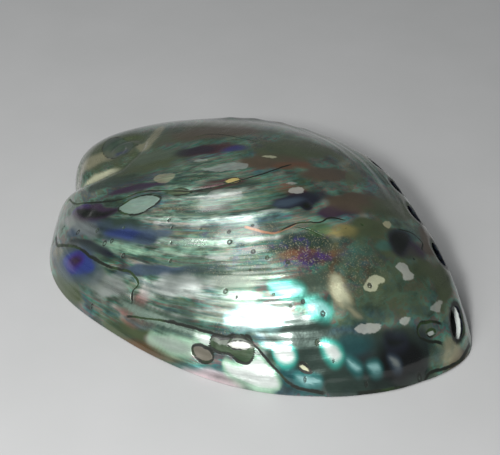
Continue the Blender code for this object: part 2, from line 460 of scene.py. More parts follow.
@dataclass(frozen=True)
class Folds(Feature):
    """The low folds along the growth lines, with fine ripples between them."""

    folds: tuple[GrowthFold, ...] = (
        GrowthFold(0.520, 0.030, 0.36, 0.55),
        GrowthFold(0.385, 0.026, 0.36, 0.80),
        GrowthFold(0.300, 0.018, 0.26, 0.95),
        GrowthFold(0.260, 0.012, 0.16, 0.65),
        GrowthFold(0.200, 0.014, 0.16, 0.40),
        GrowthFold(0.155, 0.014, 0.24, 0.85),
        GrowthFold(0.122, 0.009, 0.12, 0.50),
        GrowthFold(0.098, 0.010, 0.20, 0.95),
        GrowthFold(0.060, 0.010, 0.20, 0.80),
        GrowthFold(0.020, 0.010, 0.18, 0.80),
    )
    ripple_rise: float = 0.035
    ripple_pitch: float = 0.017
    ripple_ages: tuple[float, float] = (0.15, 0.4)
    fold_ages: tuple[float, float] = (0.55, 1.0)
    sink: float = 0.12
    low_share: float = 0.25
    back_ends: tuple[float, float] = (-34.0, 2.0)
    side_ends: tuple[float, float] = (-8.0, 8.0)

    def rise(self, spots: Spots) -> np.ndarray:
        """Raise the folds and the ripples.

        Args:
            spots: where it is wanted.

        Returns:
            The rise at each spot, in millimetres.
        """
        fade = 1.0 - rise_smoothly(spots.age, *self.fold_ages)
        wander = self.wander(spots)
        total = np.zeros(spots.x.shape)
        for fold in self.folds:
            total = total + fold.rise * bell(spots.age - fold.age - wander, fold.width)
        ripples = self.ripple_rise * np.sin(2.0 * math.pi * spots.age / self.ripple_pitch + 4.0 * spots.place)
        height = self.low_share + (1.0 - self.low_share) * rise_smoothly(spots.x, *self.back_ends)
        height = height * (1.0 - (1.0 - self.low_share) * rise_smoothly(spots.y, *self.side_ends))
        young = 1.0 - rise_smoothly(spots.age, *self.ripple_ages)
        return fade * height * (total - self.sink + ripples * young)

    def wander(self, spots: Spots) -> np.ndarray:
        """How far, in age, the folds stray from the former rims."""
        return 0.006 * np.sin(3.0 * spots.place + 0.6) + 0.004 * np.sin(7.0 * spots.place + 2.0)

    def light(self, spots: Spots) -> np.ndarray:
        """Find how strongly the folds are painted pale, as highlights along their crests.

        Args:
            spots: where it is wanted.

        Returns:
            The painted highlight, from 0 to 1.
        """
        wander = self.wander(spots)
        total = np.zeros(spots.x.shape)
        for fold in self.folds:
            total = np.maximum(total, fold.light * bell(spots.age - fold.age - wander, fold.width * 0.9))
        return total


@dataclass(frozen=True)
class BreathingHole:
    """One open hole of the row."""

    bearing: float
    run: float
    half_length: float
    half_width: float


@dataclass(frozen=True)
class HoleRow(Feature):
    """The low shoulder that carries the holes, the knobs of the healed ones, and the rounded hole edges."""

    dome: Dome
    holes: tuple[BreathingHole, ...] = (
        BreathingHole(7.8, 0.855, 4.6, 2.9),
        BreathingHole(22.3, 0.715, 4.1, 2.6),
        BreathingHole(36.5, 0.650, 3.6, 2.3),
        BreathingHole(52.0, 0.630, 3.1, 2.0),
        BreathingHole(67.0, 0.620, 2.7, 1.8),
        BreathingHole(81.0, 0.615, 2.3, 1.6),
    )
    healed: tuple[PlanPoint, ...] = (
        (94.0, 0.610), (106.5, 0.600), (118.5, 0.585), (130.0, 0.560), (141.0, 0.525),
    )
    knob_rise: float = 0.25
    knob_reach: float = 2.4
    shoulder_rise: float = 0.9
    shoulder_width: float = 4.5
    edge_drop: float = 0.30
    edge_reach: float = 0.7
    plug_depth: float = 12.0
    plug_flare: float = 1.3
    shoulder_starts: tuple[float, float] = (0.0, 0.35)
    shoulder_ends: tuple[float, float] = (2.3, 2.8)
    shoulder_side: float = -12.0
    row_points: int = 160
    gap_reach: float = 3.0
    depth_reach: float = 1.6

    def row_path(self) -> np.ndarray:
        """Lay the line of the row on the dome.

        Returns:
            Points of the line, with how high the shoulder stands there in the fourth column.
        """
        angles = np.radians([hole.bearing for hole in self.holes] + [knob[0] for knob in self.healed])
        places = np.array([hole.run for hole in self.holes] + [knob[1] for knob in self.healed])
        turn = np.linspace(self.shoulder_starts[0], self.shoulder_ends[1], self.row_points)
        path = self.dome.point(turn, np.interp(turn, angles, places))
        along = rise_smoothly(turn, *self.shoulder_starts) * (1.0 - rise_smoothly(turn, *self.shoulder_ends))
        return np.column_stack([path, along])

    def axes(self, index: int) -> tuple[Vector, Vector, Vector, Vector]:
        """Find how one hole lies.

        Args:
            index: which hole, 0 at the front.

        Returns:
            Its middle on the dome, and the directions along the row, across it and outward.
        """
        hole = self.holes[index]
        bearing = np.array(math.radians(hole.bearing))
        run = np.array(hole.run)
        outward = Vector(self.dome.normal(bearing, run))
        before = self.holes[max(index - 1, 0)]
        after = self.holes[min(index + 1, len(self.holes) - 1)]
        ahead = self.dome.point(np.array(math.radians(before.bearing)), np.array(before.run))
        behind = self.dome.point(np.array(math.radians(after.bearing)), np.array(after.run))
        along = Vector(ahead - behind)
        along = (along - outward * along.dot(outward)).normalized()
        return Vector(self.dome.point(bearing, run)), along, outward.cross(along), outward

    def gap(self, points: np.ndarray) -> np.ndarray:
        """Measure from the edge of the nearest open hole.

        Args:
            points: one to a row, in millimetres.

        Returns:
            The distance, below 0 inside a hole.
        """
        gap = np.full(len(points), FAR)
        for index, hole in enumerate(self.holes):
            middle, along, across, _ = self.axes(index)
            offset = points - np.array(middle)
            lengthwise = offset @ np.array(along) / hole.half_length
            oval = np.hypot(lengthwise, offset @ np.array(across) / hole.half_width)
            near = np.linalg.norm(offset, axis=1) < self.gap_reach * hole.half_length
            gap = np.where(near, np.minimum(gap, (oval - 1.0) * hole.half_width), gap)
        return gap

    def depth(self, points: np.ndarray) -> np.ndarray:
        """Measure how deep the points near an open hole lie below the dome there.

        Args:
            points: one to a row, in millimetres.

        Returns:
            The depth, and 0 away from the holes.
        """
        depth = np.zeros(len(points))
        for index, hole in enumerate(self.holes):
            middle, _, _, outward = self.axes(index)
            offset = points - np.array(middle)
            near = np.linalg.norm(offset, axis=1) < self.depth_reach * hole.half_length
            depth = np.where(near, -(offset @ np.array(outward)), depth)
        return depth

    def rise(self, spots: Spots) -> np.ndarray:
        """Raise the shoulder and the knobs, and round the edges of the holes.

        Args:
            spots: where it is wanted.

        Returns:
            The rise at each spot, in millimetres.
        """
        points = np.column_stack([spots.x, spots.y, spots.height])
        row = self.row_path()
        total = np.zeros(spots.x.shape)
        near = np.nonzero(spots.y > self.shoulder_side)[0]
        away = np.linalg.norm(points[near, None, :] - row[None, :, :3], axis=2)
        stands = self.shoulder_rise * row[away.argmin(axis=1), 3]
        total[near] = stands * bell(away.min(axis=1), self.shoulder_width)
        for angle, run in self.healed:
            knob = self.dome.point(np.array(math.radians(angle)), np.array(run))
            total = total + self.knob_rise * bell(np.linalg.norm(points - knob, axis=1), self.knob_reach)
        return total - self.edge_drop * bell(np.maximum(self.gap(points), 0.0), self.edge_reach)


@dataclass(frozen=True)
class Dimple:
    """A shallow hollow or, with a depth below 0, a swelling that catches the light."""

    x: float
    y: float
    reach: float
    depth: float


@dataclass(frozen=True)
class Dimples(Feature):
    """Uneven places of the polish, mostly near the growing end."""

    dimples: tuple[Dimple, ...] = (
        Dimple(41.0, -31.5, 3.2, -0.40),
        Dimple(49.0, -24.5, 3.0, -0.35),
        Dimple(33.5, -21.0, 3.6, -0.30),
        Dimple(41.5, -21.5, 3.0, -0.25),
        Dimple(49.5, -12.0, 3.6, 0.35),
        Dimple(56.0, -20.0, 3.0, 0.30),
        Dimple(58.5, -7.0, 3.2, -0.25),
        Dimple(62.0, -13.0, 2.6, -0.30),
        Dimple(44.0, -13.0, 3.2, -0.22),
        Dimple(59.0, -11.4, 3.4, 0.55),
        Dimple(46.4, 7.5, 3.0, 0.50),
        Dimple(63.6, -1.4, 1.5, 0.45),
        Dimple(22.8, -3.3, 1.4, 0.55),
        Dimple(-35.3, -31.0, 1.8, 0.35),
        Dimple(20.3, -42.6, 2.4, 0.30),
        Dimple(27.0, -35.2, 2.2, 0.35),
        Dimple(-28.9, -41.6, 4.0, -0.25),
    )

    def rise(self, spots: Spots) -> np.ndarray:
        """Sink the hollows and raise the swellings.

        Args:
            spots: where it is wanted.

        Returns:
            The rise at each spot, in millimetres.
        """
        total = np.zeros(spots.x.shape)
        for dimple in self.dimples:
            total = total - dimple.depth * bell(spots.away_from(dimple.x, dimple.y), dimple.reach)
        return total


@dataclass(frozen=True)
class Pits(Feature):
    """Small worm pits left in the polish."""

    places: tuple[PlanPoint, ...] = (
        (-6.5, -26.5), (-4.5, -27.5), (-18.5, -32.5), (-27.0, -35.0), (-22.0, -37.0), (-20.0, -36.0),
        (-2.0, -30.5), (3.5, -24.5), (11.0, -21.5), (13.0, -23.5), (20.0, -22.0), (15.5, -17.0),
        (22.0, -25.5), (0.5, -33.5), (-14.0, -37.5), (-34.5, -36.0), (-43.5, -34.0), (22.5, -31.5),
        (-17.5, -47.5), (19.0, -32.0), (28.5, -14.5), (24.0, -21.0), (30.5, -26.0), (35.5, -25.0),
        (37.5, -22.5), (43.0, -21.0), (45.0, -25.5), (46.0, -31.5), (50.0, -25.0), (58.0, -21.0),
        (66.5, -9.0), (48.0, -8.0), (36.5, 3.5), (34.5, -1.0), (50.5, 8.5), (29.0, -18.5), (-40.0, -6.0),
    )
    reach: float = 0.42
    reach_varies: float = 0.3
    depth: float = 0.08

    def gap(self, spots: Spots) -> np.ndarray:
        """Measure from the middle of the nearest pit.

        Args:
            spots: where it is wanted.

        Returns:
            The distance, as a share of that pit's reach.
        """
        gap = np.full(spots.x.shape, FAR)
        for index, (x, y) in enumerate(self.places):
            size = self.reach * (1.0 + self.reach_varies * math.sin(5.1 * index))
            gap = np.minimum(gap, spots.away_from(x, y) / size)
        return gap

    def rise(self, spots: Spots) -> np.ndarray:
        """The depth of the pits at each spot, below 0."""
        return -self.depth * bell(self.gap(spots), 1.0)


@dataclass(frozen=True)
class Stroke:
    """A dark line where the polish cut through a layer. Strokes of one layer keep clear of each other."""

    corners: tuple[PlanPoint, ...]
    half_width: float
    layer: int
    step: float = 0.0
    clear: float = 3.0
    end_fade: float = 1.2
    look: float = 8.0
    steps: int = 24

    def measure(self, spots: Spots) -> tuple[np.ndarray, np.ndarray]:
        """Measure the distance from the line.

        Args:
            spots: where it is wanted.

        Returns:
            The distance, above 0 on the left of the line, and how much the line counts there, which fades
            past its ends and away from it.
        """
        path = smooth_path(self.corners, self.steps * len(self.corners))
        count = len(path)
        gap = np.full(spots.x.shape, FAR)
        nearest = np.zeros(spots.x.shape, dtype=int)
        box = spots.near(path, self.look)
        chosen = np.nonzero(box)[0]
        away = np.hypot(spots.x[chosen, None] - path[:, 0], spots.y[chosen, None] - path[:, 1])
        nearest[chosen] = away.argmin(axis=1)
        ahead = path[np.minimum(nearest + 1, count - 1)] - path[np.maximum(nearest - 1, 0)]
        ahead = ahead / np.linalg.norm(ahead, axis=1, keepdims=True)
        dx = spots.x - path[nearest, 0]
        dy = spots.y - path[nearest, 1]
        gap[chosen] = (ahead[:, 0] * dy - ahead[:, 1] * dx)[chosen]
        past = np.abs(dx * ahead[:, 0] + dy * ahead[:, 1])
        ends = (nearest == 0) | (nearest == count - 1)
        there = np.where(ends, 1.0 - rise_smoothly(past, 0.0, self.end_fade), 1.0)
        there = there * (1.0 - rise_smoothly(np.abs(gap), self.clear * 0.6, self.clear)) * box
        return gap, there


@dataclass(frozen=True)
class Outline:
    """A closed patch, drawn by the smooth curve through a few corners."""

    LOOK = 5.0
    FAR_OUTSIDE = 20.0
    corners: tuple[PlanPoint, ...]

    def gap(self, spots: Spots) -> np.ndarray:
        """Measure from the edge.

        Args:
            spots: where it is wanted.

        Returns:
            The distance in millimetres, below 0 inside.
        """
        path = closed_path(self.corners)
        after = np.roll(path, -1, axis=0)
        chosen = np.nonzero(spots.near(path, self.LOOK))[0]
        x = spots.x[chosen, None]
        y = spots.y[chosen, None]
        away = np.hypot(x - path[:, 0], y - path[:, 1]).min(axis=1)
        crossed = (path[:, 1] > y) != (after[:, 1] > y)
        climb = after[:, 1] - path[:, 1]
        climb = np.where(np.abs(climb) < 1e-9, 1e-9, climb)
        right = x < path[:, 0] + (y - path[:, 1]) * (after[:, 0] - path[:, 0]) / climb
        inside = (crossed & right).sum(axis=1) % 2 == 1
        gap = np.full(spots.x.shape, self.FAR_OUTSIDE)
        gap[chosen] = np.where(inside, -away, away)
        return gap


@dataclass(frozen=True)
class Inlay(Outline):
    """A patch with a clear edge: a pale flake, or an islet of another layer inside a dark outline."""

    fill: Tint
    weight: float
    rim: float = 0.0


@dataclass(frozen=True)
class ColourOrHighlightPatch(Outline):
    """A patch that shades off, one colour in the middle and another round it: a colour of the shell, or a
    painted highlight.
    """

    core: Tint
    fringe: Tint
    soft: float
    weight: float = 1.0

    def covers(self, spots: Spots) -> tuple[tuple[Tint, np.ndarray], ...]:
        """Find how much of each colour shows.

        Args:
            spots: where it is wanted.

        Returns:
            The colours with their covers, from the outermost inward.
        """
        gap = self.gap(spots)
        return (
            (self.fringe, self.weight * (1.0 - rise_smoothly(gap, -0.5 * self.soft, 2.2 * self.soft))),
            (self.core, self.weight * (1.0 - rise_smoothly(gap, -self.soft, 0.8 * self.soft))),
        )


@dataclass(frozen=True)
class Spread:
    """A soft oval place that fades at its edge, turned by some degrees from +X towards +Y."""

    EDGE = (0.45, 1.25)
    WAVE = 0.10
    x: float
    y: float
    half_length: float
    half_width: float
    turn: float
    weight: float

    def cover(self, spots: Spots) -> np.ndarray:
        """Find how much of the place shows.

        Args:
            spots: where it is wanted.

        Returns:
            The cover, from 0 to 1.
        """
        along, across = spots.turned(self.x, self.y, self.turn)
        ragged = 1.0 + self.WAVE * np.sin(along * 0.9 + across * 0.6 + self.y)
        oval = np.hypot(along / self.half_length, across / self.half_width) * ragged
        return self.weight * (1.0 - rise_smoothly(oval, *self.EDGE))


@dataclass(frozen=True)
class Patch(Spread):
    """A soft oval patch of one colour."""

    tint_and_painted_light: Tint


@dataclass(frozen=True)
class Markings:
    """The markings of the outer surface, listed one by one.

    The speckled places have clots in the polish, the glow marks where the folds are painted pale as
    highlights, and the raw places weren't polished. Some of the soft patches are painted highlights.
    """

    strokes: tuple[Stroke, ...] = (
        Stroke(
            ((-51.0, -24.6), (-44.7, -27.4), (-34.5, -27.8), (-26.1, -26.4), (-21.3, -22.9),
             (-14.0, -20.2), (-6.9, -17.4), (-1.5, -13.2), (2.9, -7.7), (6.5, -1.5), (8.9, 6.4)),
            half_width=0.24, layer=0, step=0.16,
        ),
        Stroke(
            ((-46.0, -35.4), (-42.2, -37.9), (-36.2, -38.8), (-31.2, -39.3), (-24.9, -40.3),
             (-17.3, -40.5), (-12.9, -39.9), (-9.2, -39.4), (-5.6, -40.2), (-6.2, -42.0), (-5.2, -43.2)),
            half_width=0.3, layer=0, step=0.3,
        ),
        Stroke(
            ((-4.6, -45.8), (-0.7, -44.8), (6.7, -42.7), (14.1, -40.8), (21.3, -38.8), (25.0, -37.4)),
            half_width=0.2, layer=1, step=0.25,
        ),
        Stroke(
            ((23.3, -38.6), (27.9, -35.8), (31.3, -35.3), (37.7, -34.9), (42.7, -34.4), (46.4, -32.5),
             (50.6, -29.6)),
            half_width=0.2, layer=0, step=0.25,
        ),
        Stroke(
            ((69.7, 10.1), (70.7, 5.7), (70.6, 2.5), (69.4, -1.9), (67.7, -6.1), (67.2, -9.6),
             (62.4, -17.2), (57.5, -23.2)),
            half_width=0.26, layer=0, step=0.22,
        ),
        Stroke(
            ((22.6, -13.4), (24.4, -9.3), (26.4, -7.1), (28.7, -5.0), (29.6, -1.8), (32.4, 0.4)),
            half_width=0.26, layer=1, step=0.15,
        ),
        Stroke(((25.4, -10.2), (28.4, -8.8), (31.6, -7.7)), half_width=0.18, layer=0, clear=1.5),
        Stroke(((42.5, 13.0), (44.4, 16.5), (47.4, 17.0), (49.0, 14.6)), half_width=0.26, layer=1),
        Stroke(
            ((-22.7, 1.9), (-20.3, 5.3), (-16.2, 7.2), (-11.3, 8.3), (-6.6, 9.5)),
            half_width=0.2, layer=1,
        ),
        Stroke(
            ((64.0, 2.7), (62.4, 0.1), (61.3, -2.6), (61.5, -4.3), (62.5, -4.7), (63.7, -4.0),
             (65.3, -1.7), (66.5, 0.0)),
            half_width=0.3, layer=1, clear=1.6,
        ),
        Stroke(
            ((14.5, -18.2), (17.3, -17.3), (19.7, -16.5), (21.8, -15.3), (23.0, -12.9), (24.2, -9.8)),
            half_width=0.34, layer=2,
        ),
    )
    inlays: tuple[Inlay, ...] = (
        Inlay(
            ((-24.5, -28.5), (-21.5, -25.0), (-18.0, -23.0), (-14.5, -22.5), (-13.0, -23.2),
             (-15.5, -27.5), (-18.5, -29.2), (-22.0, -29.5)),
            fill=Tint.NACRE, weight=0.75, rim=0.34,
        ),
        Inlay(
            ((-13.0, -20.7), (-10.3, -18.0), (-6.0, -17.5), (-7.2, -18.7), (-9.5, -20.3)),
            fill=Tint.OLIVE, weight=0.8, rim=0.26,
        ),
        Inlay(
            ((-0.5, -10.6), (0.0, -9.0), (1.3, -7.6), (3.2, -7.7), (2.6, -9.1), (1.1, -10.3)),
            fill=Tint.GOLD, weight=0.9, rim=0.24,
        ),
        Inlay(
            ((17.0, -43.2), (18.5, -42.0), (21.8, -41.3), (23.4, -42.0), (22.0, -43.2), (19.0, -43.8)),
            fill=Tint.TAUPE, weight=1.0, rim=0.28,
        ),
        Inlay(
            ((20.9, -39.2), (23.3, -38.5), (25.5, -36.8), (28.9, -35.1), (31.2, -35.1), (32.8, -36.4),
             (32.2, -38.1), (29.6, -39.2), (27.1, -39.6), (23.8, -40.8), (21.2, -40.8)),
            fill=Tint.MOSS, weight=0.95, rim=0.24,
        ),
        Inlay(
            ((25.4, -38.6), (26.2, -37.5), (29.1, -35.9), (31.1, -35.6), (30.4, -36.9), (27.5, -38.4)),
            fill=Tint.CHALK, weight=1.0, rim=0.16,
        ),
        Inlay(
            ((43.5, -31.0), (44.2, -30.0), (46.7, -29.6), (45.7, -30.5), (44.2, -31.2)),
            fill=Tint.CREAM, weight=1.0, rim=0.24,
        ),
        Inlay(((63.1, -2.4), (63.3, -0.6), (64.4, 0.3), (64.2, -1.8)), fill=Tint.ASH, weight=1.0, rim=0.26),
        Inlay(
            ((-10.0, -10.0), (-7.5, -7.9), (-5.2, -5.0), (-1.9, -2.4), (0.2, -1.4), (1.0, -3.1),
             (-1.6, -6.1), (-5.6, -9.1)),
            fill=Tint.ASH, weight=0.55,
        ),
        Inlay(
            ((-1.4, -16.6), (-1.2, -14.8), (1.6, -12.4), (5.6, -10.9), (6.6, -11.3), (3.9, -13.9),
             (1.6, -16.1)),
            fill=Tint.ASH, weight=0.5,
        ),
        Inlay(
            ((9.3, -29.2), (10.1, -28.1), (14.4, -25.6), (15.6, -25.9), (13.9, -27.5)),
            fill=Tint.ASH, weight=0.5,
        ),
        Inlay(
            ((-19.8, -18.7), (-20.4, -16.5), (-17.3, -14.9), (-15.0, -14.9), (-15.6, -18.2)),
            fill=Tint.SAND, weight=0.45,
        ),
        Inlay(
            ((50.7, -17.5), (51.1, -15.8), (54.2, -12.1), (55.1, -11.5), (54.9, -13.9), (52.6, -16.6)),
            fill=Tint.CHALK, weight=0.65,
        ),
        Inlay(
            ((39.3, 9.2), (38.9, 11.3), (39.5, 12.4), (40.5, 11.4), (40.9, 9.6)),
            fill=Tint.SAND, weight=0.8,
        ),
        Inlay(
            ((16.2, -3.3), (15.7, -1.8), (16.9, 0.3), (18.3, 1.0), (19.2, -0.6), (17.4, -2.6)),
            fill=Tint.CHALK, weight=0.6,
        ),
        Inlay(
            ((49.5, 1.1), (49.4, 3.3), (50.8, 4.9), (52.2, 4.1), (53.4, 4.6), (54.0, 3.2), (52.9, 0.6),
             (51.8, 1.7)),
            fill=Tint.CHALK, weight=0.65,
        ),
        Inlay(
            ((47.1, -9.4), (46.8, -7.6), (47.5, -5.3), (49.4, -3.6), (50.1, -4.3), (49.3, -6.0),
             (49.8, -7.5), (48.4, -9.2)),
            fill=Tint.CREAM, weight=0.6,
        ),
        Inlay(
            ((19.9, 17.5), (19.8, 21.1), (21.3, 23.1), (23.8, 20.6), (25.0, 15.5), (27.0, 10.5),
             (24.1, 13.0)),
            fill=Tint.OLIVE, weight=0.7,
        ),
        Inlay(
            ((57.6, -7.9), (57.9, -6.3), (59.2, -4.1), (59.5, -4.9), (59.0, -7.0)),
            fill=Tint.CHALK, weight=0.65,
        ),
        Inlay(
            ((60.8, 2.1), (60.5, 5.3), (61.1, 7.6), (62.0, 5.7), (62.4, 4.3)),
            fill=Tint.CHALK, weight=0.55,
        ),
        Inlay(((0.9, 3.8), (2.0, 5.8), (4.3, 6.7), (3.0, 4.8)), fill=Tint.CREAM, weight=0.5),
        Inlay(((13.5, -1.3), (14.4, 0.6), (16.0, 1.4), (15.0, -0.4)), fill=Tint.CHALK, weight=0.45),
        Inlay(((-14.4, -8.4), (-13.2, -6.8), (-10.6, -6.0), (-12.2, -7.6)), fill=Tint.CHALK, weight=0.4),
        Inlay(
            ((-53.8, -7.3), (-54.6, -3.6), (-49.5, -3.1), (-41.4, -5.7), (-39.7, -9.8), (-43.6, -12.2),
             (-49.9, -10.6)),
            fill=Tint.SLATE, weight=0.75, rim=0.3,
        ),
    )
    patches: tuple[Patch, ...] = (
        Patch(-48.0, -8.0, 16.0, 10.0, 18.0, 0.9, Tint.OLIVE),
        Patch(-30.0, -14.0, 16.0, 6.0, 26.0, 0.75, Tint.OLIVE),
        Patch(-28.0, 4.0, 20.0, 8.0, 40.0, 0.6, Tint.OLIVE),
        Patch(-52.0, -13.0, 12.0, 3.0, 20.0, 0.66, Tint.SAND),
        Patch(-43.2, -9.6, 2.6, 1.3, 10.0, 0.9, Tint.VIOLET),
        Patch(-50.5, -5.6, 3.0, 1.4, 150.0, 0.9, Tint.MOSS),
        Patch(70.6, 4.0, 6.5, 1.4, 88.0, 0.75, Tint.BARK),
        Patch(-44.0, -17.6, 7.5, 1.3, 16.0, 0.8, Tint.CREAM),
        Patch(-28.0, -10.0, 9.0, 3.0, 30.0, 0.6, Tint.STONE),
        Patch(-20.0, 9.0, 16.0, 7.0, 45.0, 0.8, Tint.BARK),
        Patch(-22.0, 20.0, 18.0, 5.0, 50.0, 0.6, Tint.OLIVE),
        Patch(-13.0, -1.0, 10.0, 3.4, 40.0, 0.66, Tint.WINE),
        Patch(-17.0, -4.0, 7.5, 2.6, 36.0, 0.68, Tint.NIGHT),
        Patch(-7.5, 2.5, 4.0, 2.0, 50.0, 0.45, Tint.COBALT),
        Patch(5.0, 5.0, 11.0, 4.6, 50.0, 0.95, Tint.BARK),
        Patch(10.0, 7.0, 8.0, 2.2, 54.0, 0.34, Tint.RUST),
        Patch(4.0, 16.0, 16.0, 7.0, 60.0, 0.85, Tint.OLIVE),
        Patch(18.0, 12.0, 10.0, 4.0, 62.0, 0.85, Tint.BARK),
        Patch(16.0, -1.5, 7.0, 2.6, 48.0, 0.45, Tint.RUST),
        Patch(0.0, -11.0, 9.0, 2.2, 42.0, 0.6, Tint.WINE),
        Patch(-24.0, -22.0, 12.0, 1.6, 24.0, 0.75, Tint.PLUM),
        Patch(-36.0, -30.5, 9.0, 3.0, 6.0, 0.78, Tint.PLUM),
        Patch(-40.0, -29.6, 4.0, 1.6, 0.0, 0.75, Tint.VIOLET),
        Patch(-22.0, -32.6, 11.0, 1.8, 16.0, 0.8, Tint.SLATE),
        Patch(-32.0, -34.6, 9.0, 2.4, 8.0, 0.85, Tint.STEEL),
        Patch(-36.0, -33.9, 15.0, 1.9, -13.0, 0.6, Tint.ASH),
        Patch(-36.0, -21.6, 12.0, 2.4, 14.0, 0.6, Tint.SLATE),
        Patch(-16.2, -33.3, 12.0, 2.2, 13.0, 0.8, Tint.STEEL),
        Patch(-16.2, -33.3, 8.0, 1.2, 13.0, 0.5, Tint.COBALT),
        Patch(-15.0, -36.2, 13.0, 1.3, 12.0, 0.42, Tint.MINT),
        Patch(3.0, -30.3, 10.0, 1.2, 22.0, 0.45, Tint.MINT),
        Patch(-9.0, -31.5, 7.0, 1.8, 30.0, 0.6, Tint.STEEL),
        # Painted shade: a dark band along the upper side of the stepped dark line just below it.
        Patch(-26.0, -38.5, 14.0, 1.2, 0.0, 0.9, Tint.NIGHT),
        Patch(-5.0, -37.6, 11.0, 1.3, 19.0, 0.8, Tint.STEEL),
        Patch(-15.0, -43.5, 8.0, 2.6, 10.0, 0.7, Tint.ASH),
        Patch(-2.6, -42.6, 2.6, 2.6, 50.0, 0.4, Tint.ROSE),
        Patch(-32.0, -46.4, 12.0, 2.2, -6.0, 0.75, Tint.OLIVE),
        Patch(2.0, -47.4, 16.0, 2.0, 6.0, 0.75, Tint.OLIVE),
        Patch(6.0, -47.8, 13.0, 0.8, 9.0, 0.45, Tint.RUST),
        Patch(24.0, -43.6, 12.0, 0.7, 20.0, 0.55, Tint.TEAL),
        Patch(6.0, -33.4, 7.0, 1.2, 26.0, 0.55, Tint.STEEL),
        # Painted highlight: a pale pearl patch that brightens the lower middle.
        Patch(5.5, -37.0, 11.0, 2.4, 22.0, 0.6, Tint.PEARL),
        Patch(20.5, -28.5, 10.0, 2.2, 32.0, 0.8, Tint.STONE),
        Patch(9.0, -33.0, 12.0, 2.4, 34.0, 0.6, Tint.SLATE),
        Patch(10.0, -42.5, 9.0, 1.6, 16.0, 0.4, Tint.SEA),
        Patch(20.0, -3.0, 9.0, 3.4, 60.0, 0.85, Tint.NIGHT),
        Patch(18.5, -6.0, 4.6, 1.6, 56.0, 0.75, Tint.STEEL),
        Patch(29.5, 1.6, 7.0, 2.4, 66.0, 0.85, Tint.PLUM),
        Patch(30.0, 9.0, 10.0, 4.4, 72.0, 0.9, Tint.BARK),
        Patch(38.0, 4.0, 8.0, 4.0, 66.0, 0.75, Tint.OLIVE),
        Patch(36.0, 20.0, 12.0, 5.0, 84.0, 0.85, Tint.OLIVE),
        Patch(29.0, -12.5, 9.0, 3.0, 46.0, 0.8, Tint.SLATE),
        Patch(30.0, -15.5, 7.0, 1.8, 46.0, 0.55, Tint.RUST),
        Patch(33.5, -13.8, 5.0, 1.8, 46.0, 0.7, Tint.PLUM),
        Patch(38.0, -9.0, 5.0, 2.2, 56.0, 0.45, Tint.RUST),
        Patch(41.0, -5.0, 5.0, 2.4, 64.0, 0.45, Tint.TEAL),
        Patch(30.0, -6.5, 4.0, 2.2, 50.0, 0.55, Tint.LEAF),
        Patch(34.5, -2.6, 5.0, 2.2, 58.0, 0.35, Tint.GOLD),
        Patch(44.5, 14.0, 5.0, 2.6, 80.0, 0.65, Tint.SEA),
        Patch(48.0, 10.6, 6.0, 3.4, 70.0, 0.8, Tint.PLUM),
        Patch(44.0, 3.2, 3.2, 1.7, 70.0, 0.55, Tint.TEAL),
        Patch(54.0, 10.0, 6.0, 3.0, 76.0, 0.6, Tint.OLIVE),
        Patch(62.5, -6.5, 4.6, 3.0, 60.0, 0.65, Tint.NIGHT),
        Patch(50.0, -2.0, 17.0, 13.0, 60.0, 0.55, Tint.OLIVE),
        Patch(56.0, -19.0, 13.0, 5.4, 48.0, 0.9, Tint.SLATE),
        Patch(57.0, -18.0, 11.0, 3.0, 48.0, 0.7, Tint.NIGHT),
        Patch(47.0, -27.6, 9.0, 2.2, 38.0, 0.8, Tint.SLATE),
        Patch(52.0, -19.5, 6.0, 1.8, 44.0, 0.75, Tint.SEA),
        Patch(43.0, -33.6, 8.0, 1.6, 30.0, 0.7, Tint.SEA),
        Patch(40.5, -27.0, 9.0, 3.6, 40.0, 0.95, Tint.SLATE),
        Patch(35.0, -22.0, 6.0, 2.6, 45.0, 0.7, Tint.FERN),
        Patch(38.0, -17.0, 7.0, 3.0, 50.0, 0.7, Tint.FERN),
        Patch(26.0, -43.8, 10.0, 1.2, 20.0, 0.65, Tint.BLUSH),
        Patch(12.0, -44.9, 9.0, 1.1, 13.0, 0.5, Tint.BLUSH),
        Patch(-3.0, -45.5, 7.0, 1.4, 8.0, 0.35, Tint.ROSE),
        Patch(58.0, 13.0, 9.0, 2.6, 118.0, 0.85, Tint.OLIVE),
        Patch(46.0, 22.0, 10.0, 3.4, 130.0, 0.7, Tint.BARK),
        Patch(68.6, 2.0, 4.0, 2.0, 80.0, 0.6, Tint.SAND),
        Patch(61.5, -12.5, 11.0, 4.5, 62.0, 1.0, Tint.SLATE),
        Patch(62.0, -12.0, 10.0, 3.6, 62.0, 1.0, Tint.SOOT),
        Patch(53.0, -25.8, 9.0, 2.2, 40.0, 0.75, Tint.SLATE),
    )
